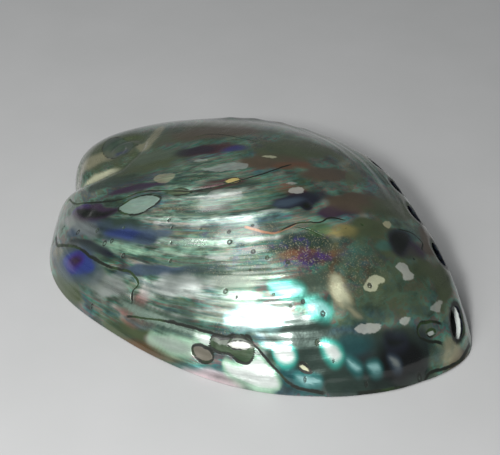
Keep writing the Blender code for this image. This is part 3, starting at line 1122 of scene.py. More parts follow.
    colour_and_highlight_patches: tuple[ColourOrHighlightPatch, ...] = (
        ColourOrHighlightPatch(
            ((-37.2, -42.4), (-36.8, -39.6), (-30.2, -39.0), (-23.4, -40.0), (-18.2, -41.3),
             (-18.1, -44.1), (-26.3, -45.4), (-33.2, -44.7)),
            core=Tint.STEEL, fringe=Tint.STONE, soft=1.2, weight=0.4,
        ),
        ColourOrHighlightPatch(
            ((-35.4, -41.8), (-31.5, -40.0), (-25.0, -40.3), (-21.5, -42.0), (-24.0, -43.6),
             (-30.0, -44.2)),
            core=Tint.COBALT, fringe=Tint.STEEL, soft=0.9, weight=0.72,
        ),
        ColourOrHighlightPatch(
            ((-32.0, -42.0), (-29.6, -41.0), (-27.2, -41.6), (-29.0, -43.0)),
            core=Tint.PLUM, fringe=Tint.VIOLET, soft=0.9,
        ),
        ColourOrHighlightPatch(
            ((-41.9, -30.0), (-35.3, -29.7), (-29.2, -30.4), (-24.6, -29.2), (-27.8, -31.6),
             (-34.9, -32.4)),
            core=Tint.INK, fringe=Tint.PLUM, soft=0.9,
        ),
        ColourOrHighlightPatch(
            ((-39.8, -6.4), (-38.6, -2.4), (-42.0, 6.0), (-38.4, 4.4), (-34.5, -3.9), (-33.9, -8.4)),
            core=Tint.SAND, fringe=Tint.STONE, soft=0.8, weight=0.62,
        ),
        # Painted highlights of the lamps on the polish: the patches with pearl, ice or cream cores from here
        # down, the sand streak beside the cream one, and the small ash spot at (59.8, -13.9).
        ColourOrHighlightPatch(
            ((16.8, -34.0), (20.6, -31.0), (25.3, -28.6), (28.2, -28.1), (26.1, -30.3), (20.7, -32.9)),
            core=Tint.PEARL, fringe=Tint.MINT, soft=0.8, weight=0.25,
        ),
        ColourOrHighlightPatch(
            ((22.4, -36.0), (24.9, -33.0), (29.6, -29.5), (33.0, -28.4), (34.8, -29.2), (31.0, -32.6),
             (26.7, -34.8)),
            core=Tint.PEARL, fringe=Tint.ICE, soft=0.8, weight=0.72,
        ),
        ColourOrHighlightPatch(
            ((36.6, -32.9), (38.8, -31.2), (41.5, -30.7), (41.9, -31.7), (40.3, -33.2), (38.0, -33.7)),
            core=Tint.PEARL, fringe=Tint.AQUA, soft=0.55,
        ),
        ColourOrHighlightPatch(
            ((46.5, -24.7), (49.0, -23.1), (50.9, -23.0), (50.4, -24.8), (48.2, -25.4)),
            core=Tint.PEARL, fringe=Tint.AQUA, soft=0.7,
        ),
        ColourOrHighlightPatch(
            ((26.5, -41.0), (28.8, -40.4), (31.0, -39.4), (32.8, -37.4), (35.0, -35.8), (40.4, -35.8),
             (40.6, -36.8), (36.7, -39.2), (32.1, -40.9), (28.4, -41.7)),
            core=Tint.PEARL, fringe=Tint.MINT, soft=0.55,
        ),
        ColourOrHighlightPatch(
            ((16.3, -40.9), (19.2, -40.1), (21.5, -40.3), (20.3, -41.2), (17.3, -41.5)),
            core=Tint.PEARL, fringe=Tint.MINT, soft=0.5, weight=0.9,
        ),
        # These two pale bands along the lower lip are paler nacre with painted highlight in them.
        ColourOrHighlightPatch(
            ((4.4, -46.2), (11.0, -44.4), (16.2, -43.4), (16.4, -44.3), (11.4, -46.0)),
            core=Tint.ASH, fringe=Tint.MINT, soft=0.8, weight=0.7,
        ),
        ColourOrHighlightPatch(
            ((-8.8, -44.3), (-0.1, -43.3), (11.5, -41.7), (17.6, -40.5), (12.1, -42.3), (-0.3, -45.0)),
            core=Tint.NACRE, fringe=Tint.STONE, soft=0.9, weight=0.75,
        ),
        ColourOrHighlightPatch(
            ((44.0, -32.7), (46.7, -30.6), (49.2, -29.2), (46.7, -31.6)),
            core=Tint.ICE, fringe=Tint.TEAL, soft=0.55,
        ),
        ColourOrHighlightPatch(
            ((52.6, -22.2), (53.9, -22.2), (55.2, -21.6), (55.4, -20.8)),
            core=Tint.ICE, fringe=Tint.TEAL, soft=0.7, weight=0.9,
        ),
        ColourOrHighlightPatch(
            ((38.3, -21.8), (40.9, -19.8), (43.6, -19.2), (43.9, -20.8), (40.6, -22.6)),
            core=Tint.ICE, fringe=Tint.AQUA, soft=0.9, weight=0.6,
        ),
        ColourOrHighlightPatch(
            ((28.6, -25.2), (31.8, -22.6), (35.4, -20.8), (36.0, -21.9), (32.0, -24.8)),
            core=Tint.ICE, fringe=Tint.AQUA, soft=0.8, weight=0.65,
        ),
        ColourOrHighlightPatch(
            ((40.0, -13.9), (41.4, -12.6), (46.2, -14.2), (46.0, -15.9), (42.8, -16.7)),
            core=Tint.CREAM, fringe=Tint.SAND, soft=0.8, weight=0.75,
        ),
        ColourOrHighlightPatch(
            ((46.2, -15.7), (49.2, -14.7), (50.6, -14.5), (49.2, -15.7)),
            core=Tint.SAND, fringe=Tint.STONE, soft=0.7, weight=0.8,
        ),
        ColourOrHighlightPatch(
            ((56.8, -19.0), (58.2, -17.2), (59.4, -17.2), (58.4, -18.6)),
            core=Tint.ICE, fringe=Tint.TEAL, soft=0.6, weight=0.7,
        ),
        ColourOrHighlightPatch(
            ((59.8, -13.9), (61.4, -12.7), (62.5, -12.9), (61.6, -14.0)),
            core=Tint.ASH, fringe=Tint.STEEL, soft=0.6, weight=0.7,
        ),
        ColourOrHighlightPatch(
            ((42.6, 8.4), (43.2, 13.0), (45.3, 13.4), (47.9, 6.5), (45.8, 5.4)),
            core=Tint.INK, fringe=Tint.NIGHT, soft=0.8, weight=0.85,
        ),
        ColourOrHighlightPatch(
            ((57.4, -12.0), (58.9, -10.2), (60.5, -9.0), (60.0, -10.8), (58.4, -12.5)),
            core=Tint.INK, fringe=Tint.NIGHT, soft=1.1,
        ),
        ColourOrHighlightPatch(
            ((21.8, -4.0), (21.9, -2.6), (23.4, -2.2), (24.0, -3.6), (23.0, -4.4)),
            core=Tint.INK, fringe=Tint.NIGHT, soft=0.6,
        ),
    )
    speckled: tuple[Spread, ...] = (
        Spread(22.0, -20.0, 20.0, 8.0, 38.0, 0.65),
        Spread(31.0, -13.5, 12.0, 6.5, 46.0, 1.0),
        Spread(42.0, -9.0, 10.0, 7.0, 56.0, 0.75),
        Spread(17.0, -26.5, 9.0, 2.4, 36.0, 0.7),
        Spread(8.0, -23.5, 7.0, 1.5, 34.0, 0.7),
        Spread(-8.0, -24.0, 7.0, 1.2, 26.0, 0.6),
        Spread(24.0, -36.6, 5.0, 2.2, 26.0, 0.8),
        Spread(-2.0, 22.0, 26.0, 10.0, 55.0, 0.55),
    )
    # The glow spreads keep the painted highlight of the folds to the zone that faces the lamps.
    glow: tuple[Spread, ...] = (
        Spread(2.0, -24.0, 24.0, 10.0, 34.0, 0.8),
        Spread(8.0, -31.0, 15.0, 7.0, 34.0, 0.6),
        Spread(19.0, -34.5, 13.0, 3.0, 30.0, 0.66),
        Spread(-2.0, -37.0, 16.0, 7.0, 22.0, 0.8),
        Spread(31.0, -38.5, 9.0, 3.0, 24.0, 1.0),
        Spread(-20.0, -33.0, 18.0, 6.0, 14.0, 0.35),
    )
    raw: tuple[Spread, ...] = (
        Spread(-60.5, -13.0, 4.4, 1.5, 128.0, 1.0),
        Spread(-64.0, -7.0, 6.0, 1.4, 116.0, 0.9),
    )

    edge_width: float = 0.5
    step_reach: float = 2.2
    groove_depth: float = 0.6
    groove_width: float = 0.8

    def ink(self, spots: Spots) -> tuple[np.ndarray, np.ndarray]:
        """Gather the strokes, one column to a layer.

        Args:
            spots: where the ink is wanted.

        Returns:
            The distances from the lines, in half widths, and how much they count.
        """
        gaps = np.full((len(spots.x), 3), FAR)
        there = np.zeros((len(spots.x), 3))
        for stroke in self.strokes:
            gap, counts = stroke.measure(spots)
            closer = counts > there[:, stroke.layer]
            gaps[closer, stroke.layer] = gap[closer] / stroke.half_width
            there[closer, stroke.layer] = counts[closer]
        return np.clip(gaps, -20.0, 20.0), there

    def steps(self, spots: Spots) -> np.ndarray:
        """Find how far the layers stand up at the lines.

        Args:
            spots: where it is wanted.

        Returns:
            The rise at each spot, in millimetres.
        """
        total = np.zeros(spots.x.shape)
        for stroke in self.strokes:
            if stroke.step > 0.0:
                gap, counts = stroke.measure(spots)
                edge = np.tanh(gap / self.edge_width) * 0.5 * bell(gap, self.step_reach)
                groove = self.groove_depth * bell(gap, self.groove_width)
                total = total + stroke.step * counts * (edge - groove)
        return total

    def colours(self, spots: Spots) -> np.ndarray:
        """Lay the colour patches and the painted highlight patches over each other.

        Args:
            spots: where the colour is wanted.

        Returns:
            The colour, with how much it counts in the fourth column.
        """
        colour = np.zeros((len(spots.x), 3))
        cover = np.zeros(len(spots.x))
        layers = [(patch.tint_and_painted_light, patch.cover(spots)) for patch in self.patches]
        for blended_patch in self.colour_and_highlight_patches:
            layers.extend(blended_patch.covers(spots))
        for tint_and_painted_light, weight in layers:
            total = weight + cover * (1.0 - weight)
            share = np.divide(weight, total, out=np.zeros_like(weight), where=total > 1e-6)[:, None]
            colour = colour * (1.0 - share) + np.array(tint_and_painted_light.linear[:3]) * share
            cover = total
        return np.column_stack([colour, cover])

    def inlaid(self, spots: Spots) -> tuple[np.ndarray, np.ndarray, np.ndarray]:
        """Find the nearest inlay.

        Args:
            spots: where it is wanted.

        Returns:
            The distance from its edge, its colour with how much it counts, and the distance from the nearest
            dark outline in half widths.
        """
        nearest = np.full(spots.x.shape, Outline.FAR_OUTSIDE)
        outline = np.full(spots.x.shape, Outline.FAR_OUTSIDE)
        colour = np.zeros((len(spots.x), 4))
        for inlay in self.inlays:
            gap = inlay.gap(spots)
            closer = (gap < nearest) | (gap < 0.0)
            nearest[closer] = gap[closer]
            colour[closer] = (*inlay.fill.linear[:3], inlay.weight)
            if inlay.rim > 0.0:
                outline = np.minimum(outline, np.abs(gap) / inlay.rim)
        return nearest, colour, outline

    @staticmethod
    def strongest(places: tuple[Spread, ...], spots: Spots) -> np.ndarray:
        """The greatest cover that any of the places has."""
        return np.max([place.cover(spots) for place in places], axis=0)


@dataclass(frozen=True)
class Wall:
    """How thick the shell is: thin over most of it, thick at the foot of the hole side."""

    thin: float = 2.4
    shelf: float = 9.0
    shelf_from: float = 42.0
    shelf_to: float = 178.0
    fade: float = 40.0
    top: float = 0.80

    def thickness(self, bearing: np.ndarray, run: np.ndarray) -> np.ndarray:
        """Find the thickness.

        Args:
            bearing: direction from the drawing centre, in radians.
            run: 0 at the crown and 1 at the rim.

        Returns:
            The thickness, in millimetres.
        """
        degrees = np.mod(np.degrees(bearing) + 90.0, 360.0) - 90.0
        half = self.fade / 2
        side = rise_smoothly(degrees, self.shelf_from - half, self.shelf_from + half)
        side = side * (1.0 - rise_smoothly(degrees, self.shelf_to - half, self.shelf_to + half))
        foot = rise_smoothly(run, self.top, 0.99)
        return self.thin + (self.shelf - self.thin) * side * foot


@dataclass
class ShellBuilder:
    """Makes the shell's mesh and paints its markings into it."""

    dome: Dome = field(default_factory=Dome)
    wall: Wall = field(default_factory=Wall)
    cells: int = 260
    crowding: float = 1.08
    lip: float = 0.5
    inner_reach: tuple[float, float] = (0.80, 1.04)
    halvings: int = 18
    sharp_angle: float = 50.0
    glow_floor: float = 0.25

    def __post_init__(self) -> None:
        """Make the parts that depend on the dome."""
        self.clock = GrowthClock(self.dome)
        self.row = HoleRow(self.dome)
        self.folds = Folds()
        self.pits = Pits()
        self.markings = Markings()
        self.coarse: tuple[Feature, ...] = (Crease(), Spire(), self.row)
        self.fine: tuple[Feature, ...] = (self.folds, Dimples(), self.pits)
        self.shift = self.find_shift()

    def find_shift(self) -> Vector:
        """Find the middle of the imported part.

        Returns:
            The middle in plan, seen from the drawing centre.
        """
        around = np.linspace(0.0, 2.0 * math.pi, 360, endpoint=False)
        bearing, run = np.meshgrid(around, np.linspace(0.7, 1.0, 13))
        points = self.outer(bearing.ravel(), run.ravel(), self.coarse)
        middle = (points.min(axis=0) + points.max(axis=0)) / 2.0
        return Vector((middle[0], middle[1], 0.0))

    def outer(self, bearing: np.ndarray, run: np.ndarray, features: tuple[Feature, ...]) -> np.ndarray:
        """Find points of the outer surface.

        Args:
            bearing: direction from the drawing centre, in radians.
            run: 0 at the crown and 1 at the rim.
            features: the relief to lay over the dome.

        Returns:
            The points, in millimetres.
        """
        base = self.dome.point(bearing, run)
        spots = Spots.at(base, self.clock)
        relief = sum((feature.rise(spots) for feature in features), np.zeros(len(base)))
        if self.folds in features:
            relief = relief + self.markings.steps(spots)
        return base + relief[:, None] * self.dome.normal(bearing, run)

    def disc(self, cells: int) -> tuple[np.ndarray, np.ndarray]:
        """Bend a square grid into a disc.

        Args:
            cells: how many cells the grid has on each side.

        Returns:
            The bearing and the run of each grid point.
        """
        side = np.linspace(-1.0, 1.0, cells + 1)
        across, up = np.meshgrid(side, side, indexing="ij")
        x = across * np.sqrt(1.0 - up**2 / 2.0)
        y = up * np.sqrt(1.0 - across**2 / 2.0)
        run = np.minimum(np.hypot(x, y), 1.0) ** self.crowding
        return np.arctan2(y, x).ravel(), run.ravel()

    @staticmethod
    def border(cells: int) -> np.ndarray:
        """Number the grid's border points.

        Args:
            cells: how many cells the grid has on each side.

        Returns:
            The numbers, counter-clockwise.
        """
        step = np.arange(cells)
        width = cells + 1
        far_side = (cells - step) * width + cells
        return np.concatenate([step * width, cells * width + step, far_side, cells - step])

    @staticmethod
    def quads(cells: int) -> np.ndarray:
        """Number the corners of the grid's faces.

        Args:
            cells: how many cells the grid has on each side.

        Returns:
            Four corners to a row, in the order that faces up.
        """
        i, j = np.meshgrid(np.arange(cells), np.arange(cells), indexing="ij")
        first = (i * (cells + 1) + j).ravel()
        return np.column_stack([first, first + cells + 1, first + cells + 2, first + 1])

    def outer_points(self) -> np.ndarray:
        """Lay out the outer sheet, which ends at the table in a rounded lip.

        Returns:
            The points, in millimetres.
        """
        bearing, run = self.disc(self.cells)
        points = self.outer(bearing, run, self.coarse + self.fine)
        points[:, 2] = np.maximum(points[:, 2], 0.0)
        points[self.border(self.cells), 2] = 0.0
        short = np.clip(self.lip - points[:, 2], 0.0, self.lip)
        inward = self.lip - np.sqrt(self.lip**2 - short**2)
        normal = self.dome.normal(bearing, run)[:, :2]
        normal = normal / np.maximum(np.linalg.norm(normal, axis=1, keepdims=True), 1e-6)
        points[:, :2] -= normal * inward[:, None]
        return points

    def inner_points(self) -> np.ndarray:
        """Lay out the inner sheet, with each spoke ending where it meets the table.

        Returns:
            The points, in millimetres.
        """
        bearing, run = self.disc(self.cells // 2)
        low = np.full(len(bearing), self.inner_reach[0])
        high = np.full(len(bearing), self.inner_reach[1])
        for _ in range(self.halvings):
            middle = (low + high) / 2.0
            above = self.inside_at(bearing, middle)[:, 2] > 0.0
            low = np.where(above, middle, low)
            high = np.where(above, high, middle)
        points = self.inside_at(bearing, run * low)
        points[self.border(self.cells // 2), 2] = 0.0
        points[:, 2] = np.maximum(points[:, 2], 0.0)
        return points

    def inside_at(self, bearing: np.ndarray, run: np.ndarray) -> np.ndarray:
        """Points one wall below the outer surface."""
        thickness = self.wall.thickness(bearing, run)
        return self.outer(bearing, run, self.coarse) - thickness[:, None] * self.dome.normal(bearing, run)

    def build(self, materials: list[bpy.types.Material]) -> bpy.types.Object:
        """Make the shell.

        Args:
            materials: one for each Surface, in order.

        Returns:
            The closed and painted object.
        """
        outer = self.outer_points()
        inner = self.inner_points()
        half = self.cells // 2
        outer_loop = self.border(self.cells)
        inner_loop = self.border(half) + len(outer)
        odd = outer_loop[1::2]
        even = outer_loop[0::2]
        after = np.roll(even, -1)
        inner_after = np.roll(inner_loop, -1)
        ring = np.concatenate([
            np.column_stack([odd, even, inner_loop]),
            np.column_stack([after, odd, inner_after]),
            np.column_stack([odd, inner_loop, inner_after]),
        ])
        outer_faces = self.quads(self.cells)
        inner_faces = self.quads(half)[:, ::-1] + len(outer)
        points = (np.vstack([outer, inner]) - np.array(self.shift)) * MM
        mesh = bpy.data.meshes.new(PIECE_NAME)
        faces = outer_faces.tolist() + inner_faces.tolist() + ring.tolist()
        mesh.from_pydata(points.tolist(), [], faces)
        slots = np.full(len(mesh.polygons), int(Surface.INSIDE))
        slots[: len(outer_faces)] = int(Surface.OUTSIDE)
        for material in materials:
            mesh.materials.append(material)
        mesh.polygons.foreach_set("material_index", slots)
        shell = bpy.data.objects.new(PIECE_NAME, mesh)
        bpy.context.scene.collection.objects.link(shell)
        self.cut_holes(shell, materials)
        self.paint(shell.data)
        shell.data.shade_smooth()
        shell.data.set_sharp_from_angle(angle=math.radians(self.sharp_angle))
        LOG.info("shell: %d vertices, %d faces", len(shell.data.vertices), len(shell.data.polygons))
        return shell

    def make_plugs(self, materials: list[bpy.types.Material]) -> bpy.types.Object:
        """Make the plugs that cut the holes.

        Args:
            materials: one for each Surface, in order.

        Returns:
            One object with an oval plug for each hole, wider inside.
        """
        plugs = bmesh.new()
        for index, hole in enumerate(self.row.holes):
            middle, along, across, outward = self.row.axes(index)
            size = Matrix((along * hole.half_length * MM, across * hole.half_width * MM, outward * MM))
            place = Matrix.Translation((middle - self.shift) * MM) @ size.transposed().to_4x4()
            flare = self.row.plug_flare
            bmesh.ops.create_cone(
                plugs, cap_ends=True, segments=48, radius1=flare, radius2=2.0 - flare,
                depth=self.row.plug_depth, matrix=place,
            )
        for face in plugs.faces:
            face.material_index = int(Surface.HOLE_WALL)
        mesh = bpy.data.meshes.new("hole_plugs")
        plugs.to_mesh(mesh)
        plugs.free()
        for material in materials:
            mesh.materials.append(material)
        made = bpy.data.objects.new("hole_plugs", mesh)
        bpy.context.scene.collection.objects.link(made)
        return made

    def cut_holes(self, shell: bpy.types.Object, materials: list[bpy.types.Material]) -> None:
        """Cut the breathing holes and keep the result as the shell's own mesh.

        Args:
            shell: the uncut shell.
            materials: one for each Surface, in order.
        """
        plugs = self.make_plugs(materials)
        cut = shell.modifiers.new("holes", "BOOLEAN")
        cut.operation = "DIFFERENCE"
        cut.solver = "EXACT"
        cut.material_mode = "INDEX"
        cut.object = plugs
        done = bpy.data.meshes.new_from_object(shell.evaluated_get(bpy.context.evaluated_depsgraph_get()))
        shell.modifiers.clear()
        shell.data = done
        done.name = PIECE_NAME
        bpy.data.objects.remove(plugs, do_unlink=True)

    def paint(self, mesh: bpy.types.Mesh) -> None:
        """Write the markings into the mesh as named values that the materials read.

        Args:
            mesh: the finished mesh.
        """
        points = np.empty(len(mesh.vertices) * 3)
        mesh.vertices.foreach_get("co", points)
        points = points.reshape(-1, 3) / MM + np.array(self.shift)
        spots = Spots.at(points, self.clock)
        marks = self.markings
        gaps, there = marks.ink(spots)
        inlay_gap, inlay_tint, outline_gap = marks.inlaid(spots)
        glow = marks.strongest(marks.glow, spots)
        # Painted highlight: the pale crests of the folds, kept mostly to the glow spreads.
        light = self.folds.light(spots) * (self.glow_floor + (1.0 - self.glow_floor) * glow)
        vectors = {
            "growth": (np.cos(spots.place), np.sin(spots.place), spots.age),
            "ink_gap": gaps.T,
            "ink_there": there.T,
            "cover": (light, marks.strongest(marks.speckled, spots), marks.strongest(marks.raw, spots)),
            "edges": (outline_gap, inlay_gap, self.pits.gap(spots)),
        }
        layers = {name: np.clip(np.column_stack(values), -50.0, 50.0) for name, values in vectors.items()}
        layers["tint_and_painted_light"] = marks.colours(spots)
        layers["inlay_tint"] = inlay_tint
        layers["hole_gap"] = self.row.gap(points)[:, None]
        layers["hole_depth"] = self.row.depth(points)[:, None]
        kinds = {1: ("FLOAT", "value"), 3: ("FLOAT_VECTOR", "vector"), 4: ("FLOAT_COLOR", "color")}
        for name, values in layers.items():
            kind, slot = kinds[values.shape[1]]
            layer = mesh.attributes.new(name, kind, "POINT")
            layer.data.foreach_set(slot, values.ravel())


class Graph:
    """A short way to write shader nodes."""

    def __init__(self, tree: bpy.types.NodeTree) -> None:
        """Work in this node tree."""
        self.tree = tree

    def add(
        self, kind: str, sockets: dict[int | str, Value] | None = None, **settings: str | bpy.types.ID
    ) -> bpy.types.Node:
        """Make a node.

        Args:
            kind: the node's type.
            sockets: what goes into its inputs, by name or number.
            settings: its own settings, by name.

        Returns:
            The node.
        """
        node = self.tree.nodes.new(kind)
        for name, value in settings.items():
            setattr(node, name, value)
        for socket, value in (sockets or {}).items():
            self.feed(node.inputs[socket], value)
        return node

    def feed(self, socket: Socket, value: Value) -> None:
        """Link a socket to another, or give it a plain value.

        Args:
            socket: the input to feed.
            value: the output to link, or the value.
        """
        if isinstance(value, bpy.types.NodeSocket):
            self.tree.links.new(value, socket)
        elif isinstance(value, Tint):
            socket.default_value = value.linear
        else:
            socket.default_value = value

    def math(self, operation: str, first: Value, second: Value = 0.0) -> Socket:
        """The result of one sum."""
        return self.add("ShaderNodeMath", {0: first, 1: second}, operation=operation).outputs[0]

    def plus(self, *values: Value) -> Socket:
        """The values added up, from the left."""
        return reduce(lambda first, second: self.math("ADD", first, second), values)

    def times(self, *values: Value) -> Socket:
        """The values multiplied, from the left."""
        return reduce(lambda first, second: self.math("MULTIPLY", first, second), values)

    def greatest(self, *values: Value) -> Socket:
        """The greatest of the values."""
        return reduce(lambda first, second: self.math("MAXIMUM", first, second), values)

    def ragged(self, noise: Socket, strength: float) -> Socket:
        """Noise moved to swing about 0, and made this strong."""
        return self.times(self.math("SUBTRACT", noise, 0.5), strength)

    def mix(self, share: Value, low: Value, high: Value, blend: str = "MIX") -> Socket:
        """Two colours mixed."""
        sockets = {"Factor": share, 6: low, 7: high}
        return self.add("ShaderNodeMix", sockets, data_type="RGBA", blend_type=blend).outputs[2]

    def between(self, share: Value, low: Value, high: Value) -> Socket:
        """Two values mixed."""
        return self.add("ShaderNodeMix", {"Factor": share, 2: low, 3: high}, data_type="FLOAT").outputs[0]

    def ease(
        self, value: Value, low: Value, high: Value, to_low: float = 0.0, to_high: float = 1.0
    ) -> Socket:
        """One range turned into another by an easy curve."""
        sockets = {"Value": value, "From Min": low, "From Max": high, "To Min": to_low, "To Max": to_high}
        return self.add("ShaderNodeMapRange", sockets, interpolation_type="SMOOTHSTEP").outputs["Result"]

    def noise(self, vector: Socket, scale: Value, detail: float = 2.0, rough: float = 0.5) -> Socket:
        """Soft noise from 0 to 1."""
        sockets = {"Vector": vector, "Scale": scale, "Detail": detail, "Roughness": rough}
        return self.add("ShaderNodeTexNoise", sockets).outputs["Fac"]

    def stretch(self, vector: Socket, scale: tuple[float, float, float]) -> Socket:
        """A vector scaled differently along each axis."""
        return self.add("ShaderNodeVectorMath", {0: vector, 1: scale}, operation="MULTIPLY").outputs[0]

    def ramp(self, value: Value, stops: tuple[Stop, ...]) -> Socket:
        """Turn a value into colours.

        Args:
            value: what is turned.
            stops: the places of the colours, from 0 to 1.

        Returns:
            The colour.
        """
        node = self.add("ShaderNodeValToRGB")
        band = node.color_ramp
        while len(band.elements) < len(stops):
            band.elements.new(0.5)
        for element, (place, tint_and_painted_light) in zip(band.elements, stops):
            element.position = place
            element.color = tint_and_painted_light.linear
        self.feed(node.inputs["Fac"], value)
        return node.outputs["Color"]

    def read(self, name: str) -> bpy.types.Node:
        """The node that reads a named value of the mesh."""
        return self.add("ShaderNodeAttribute", attribute_type="GEOMETRY", attribute_name=name)

    def split(self, vector: Socket) -> tuple[Socket, ...]:
        """The three numbers of a vector."""
        return tuple(self.add("ShaderNodeSeparateXYZ", {0: vector}).outputs)


class Effect(Graph):
    """A node group with named inputs and outputs."""

    KINDS = {"value": "NodeSocketFloat", "vector": "NodeSocketVector"}

    def __init__(self, name: str, inputs: dict[str, str], outputs: tuple[str, ...]) -> None:
        """Make the group.

        Args:
            name: the group's name.
            inputs: name and kind of each input.
            outputs: name of each output, which is a value.
        """
        super().__init__(bpy.data.node_groups.new(name, "ShaderNodeTree"))
        for label, kind in inputs.items():
            self.tree.interface.new_socket(label, in_out="INPUT", socket_type=self.KINDS[kind])
        for label in outputs:
            self.tree.interface.new_socket(label, in_out="OUTPUT", socket_type=self.KINDS["value"])
        self.given = self.add("NodeGroupInput").outputs
        self.result = self.add("NodeGroupOutput").inputs

    def place(self, graph: Graph, **values: Value) -> dict[str, Socket]:
        """Use the group in a material.

        Args:
            graph: the material's nodes.
            values: a value or a socket for each input.

        Returns:
            The group's outputs, by name.
        """
        return graph.add("ShaderNodeGroup", values, node_tree=self.tree).outputs


@dataclass(frozen=True)
class Streak:
    """Noise drawn out along the growth lines."""

    name: str
    along: float
    across: float
    detail: float
    rough: float
    steady: bool = False


STREAKS = (
    Streak("Cloud", 3.0, 9.0, 3.0, 0.5, steady=True),
    Streak("Bands", 2.2, 22.0, 2.0, 0.5),
    Streak("Streaks", 4.0, 80.0, 2.5, 0.55),
    Streak("Hairs", 5.0, 420.0, 2.0, 0.6),
    Streak("Smears", 12.0, 46.0, 4.0, 0.55),
)


def make_streaks() -> Effect:
    """Make the streaks of nacre along the growth lines, used on both faces of the wall.

    Returns:
        The effect, with one output for each kind of streak.
    """
    names = tuple(streak.name for streak in STREAKS)
    effect = Effect("growth_streaks", {"Growth": "vector", "Fineness": "value"}, names)
    for streak in STREAKS:
        place = effect.stretch(effect.given["Growth"], (streak.along, streak.along, streak.across))
        scale = 1.0 if streak.steady else effect.given["Fineness"]
        effect.feed(effect.result[streak.name], effect.noise(place, scale, streak.detail, streak.rough))
    return effect


def make_line() -> Effect:
    """Make the mask of a line, from the distance to it in half widths.

    Returns:
        The effect.
    """
    inputs = {"Gap": "value", "There": "value", "Wobble": "value", "Softness": "value"}
    effect = Effect("thin_line", inputs, ("Mask",))
    off = effect.math("ABSOLUTE", effect.plus(effect.given["Gap"], effect.given["Wobble"]))
    low = effect.math("SUBTRACT", 1.0, effect.given["Softness"])
    high = effect.plus(1.0, effect.given["Softness"])
    mask = effect.ease(off, low, high, 1.0, 0.0)
    effect.feed(effect.result["Mask"], effect.times(mask, effect.given["There"]))
    return effect


class Finish:
    """A material, with its nodes, its shader and the places on its object."""

    def __init__(self, name: str) -> None:
        """Make the plain material.

        Args:
            name: the material's name.
        """
        self.material = bpy.data.materials.new(name)
        self.material.use_nodes = True
        self.graph = Graph(self.material.node_tree)
        self.shader = self.material.node_tree.nodes["Principled BSDF"]
        self.spot = self.graph.add("ShaderNodeTexCoord").outputs["Object"]

    def dress(self, **values: Value) -> None:
        """Feed the shader's sockets, named with underscores for spaces."""
        for label, value in values.items():
            self.graph.feed(self.shader.inputs[label.replace("_", " ")], value)


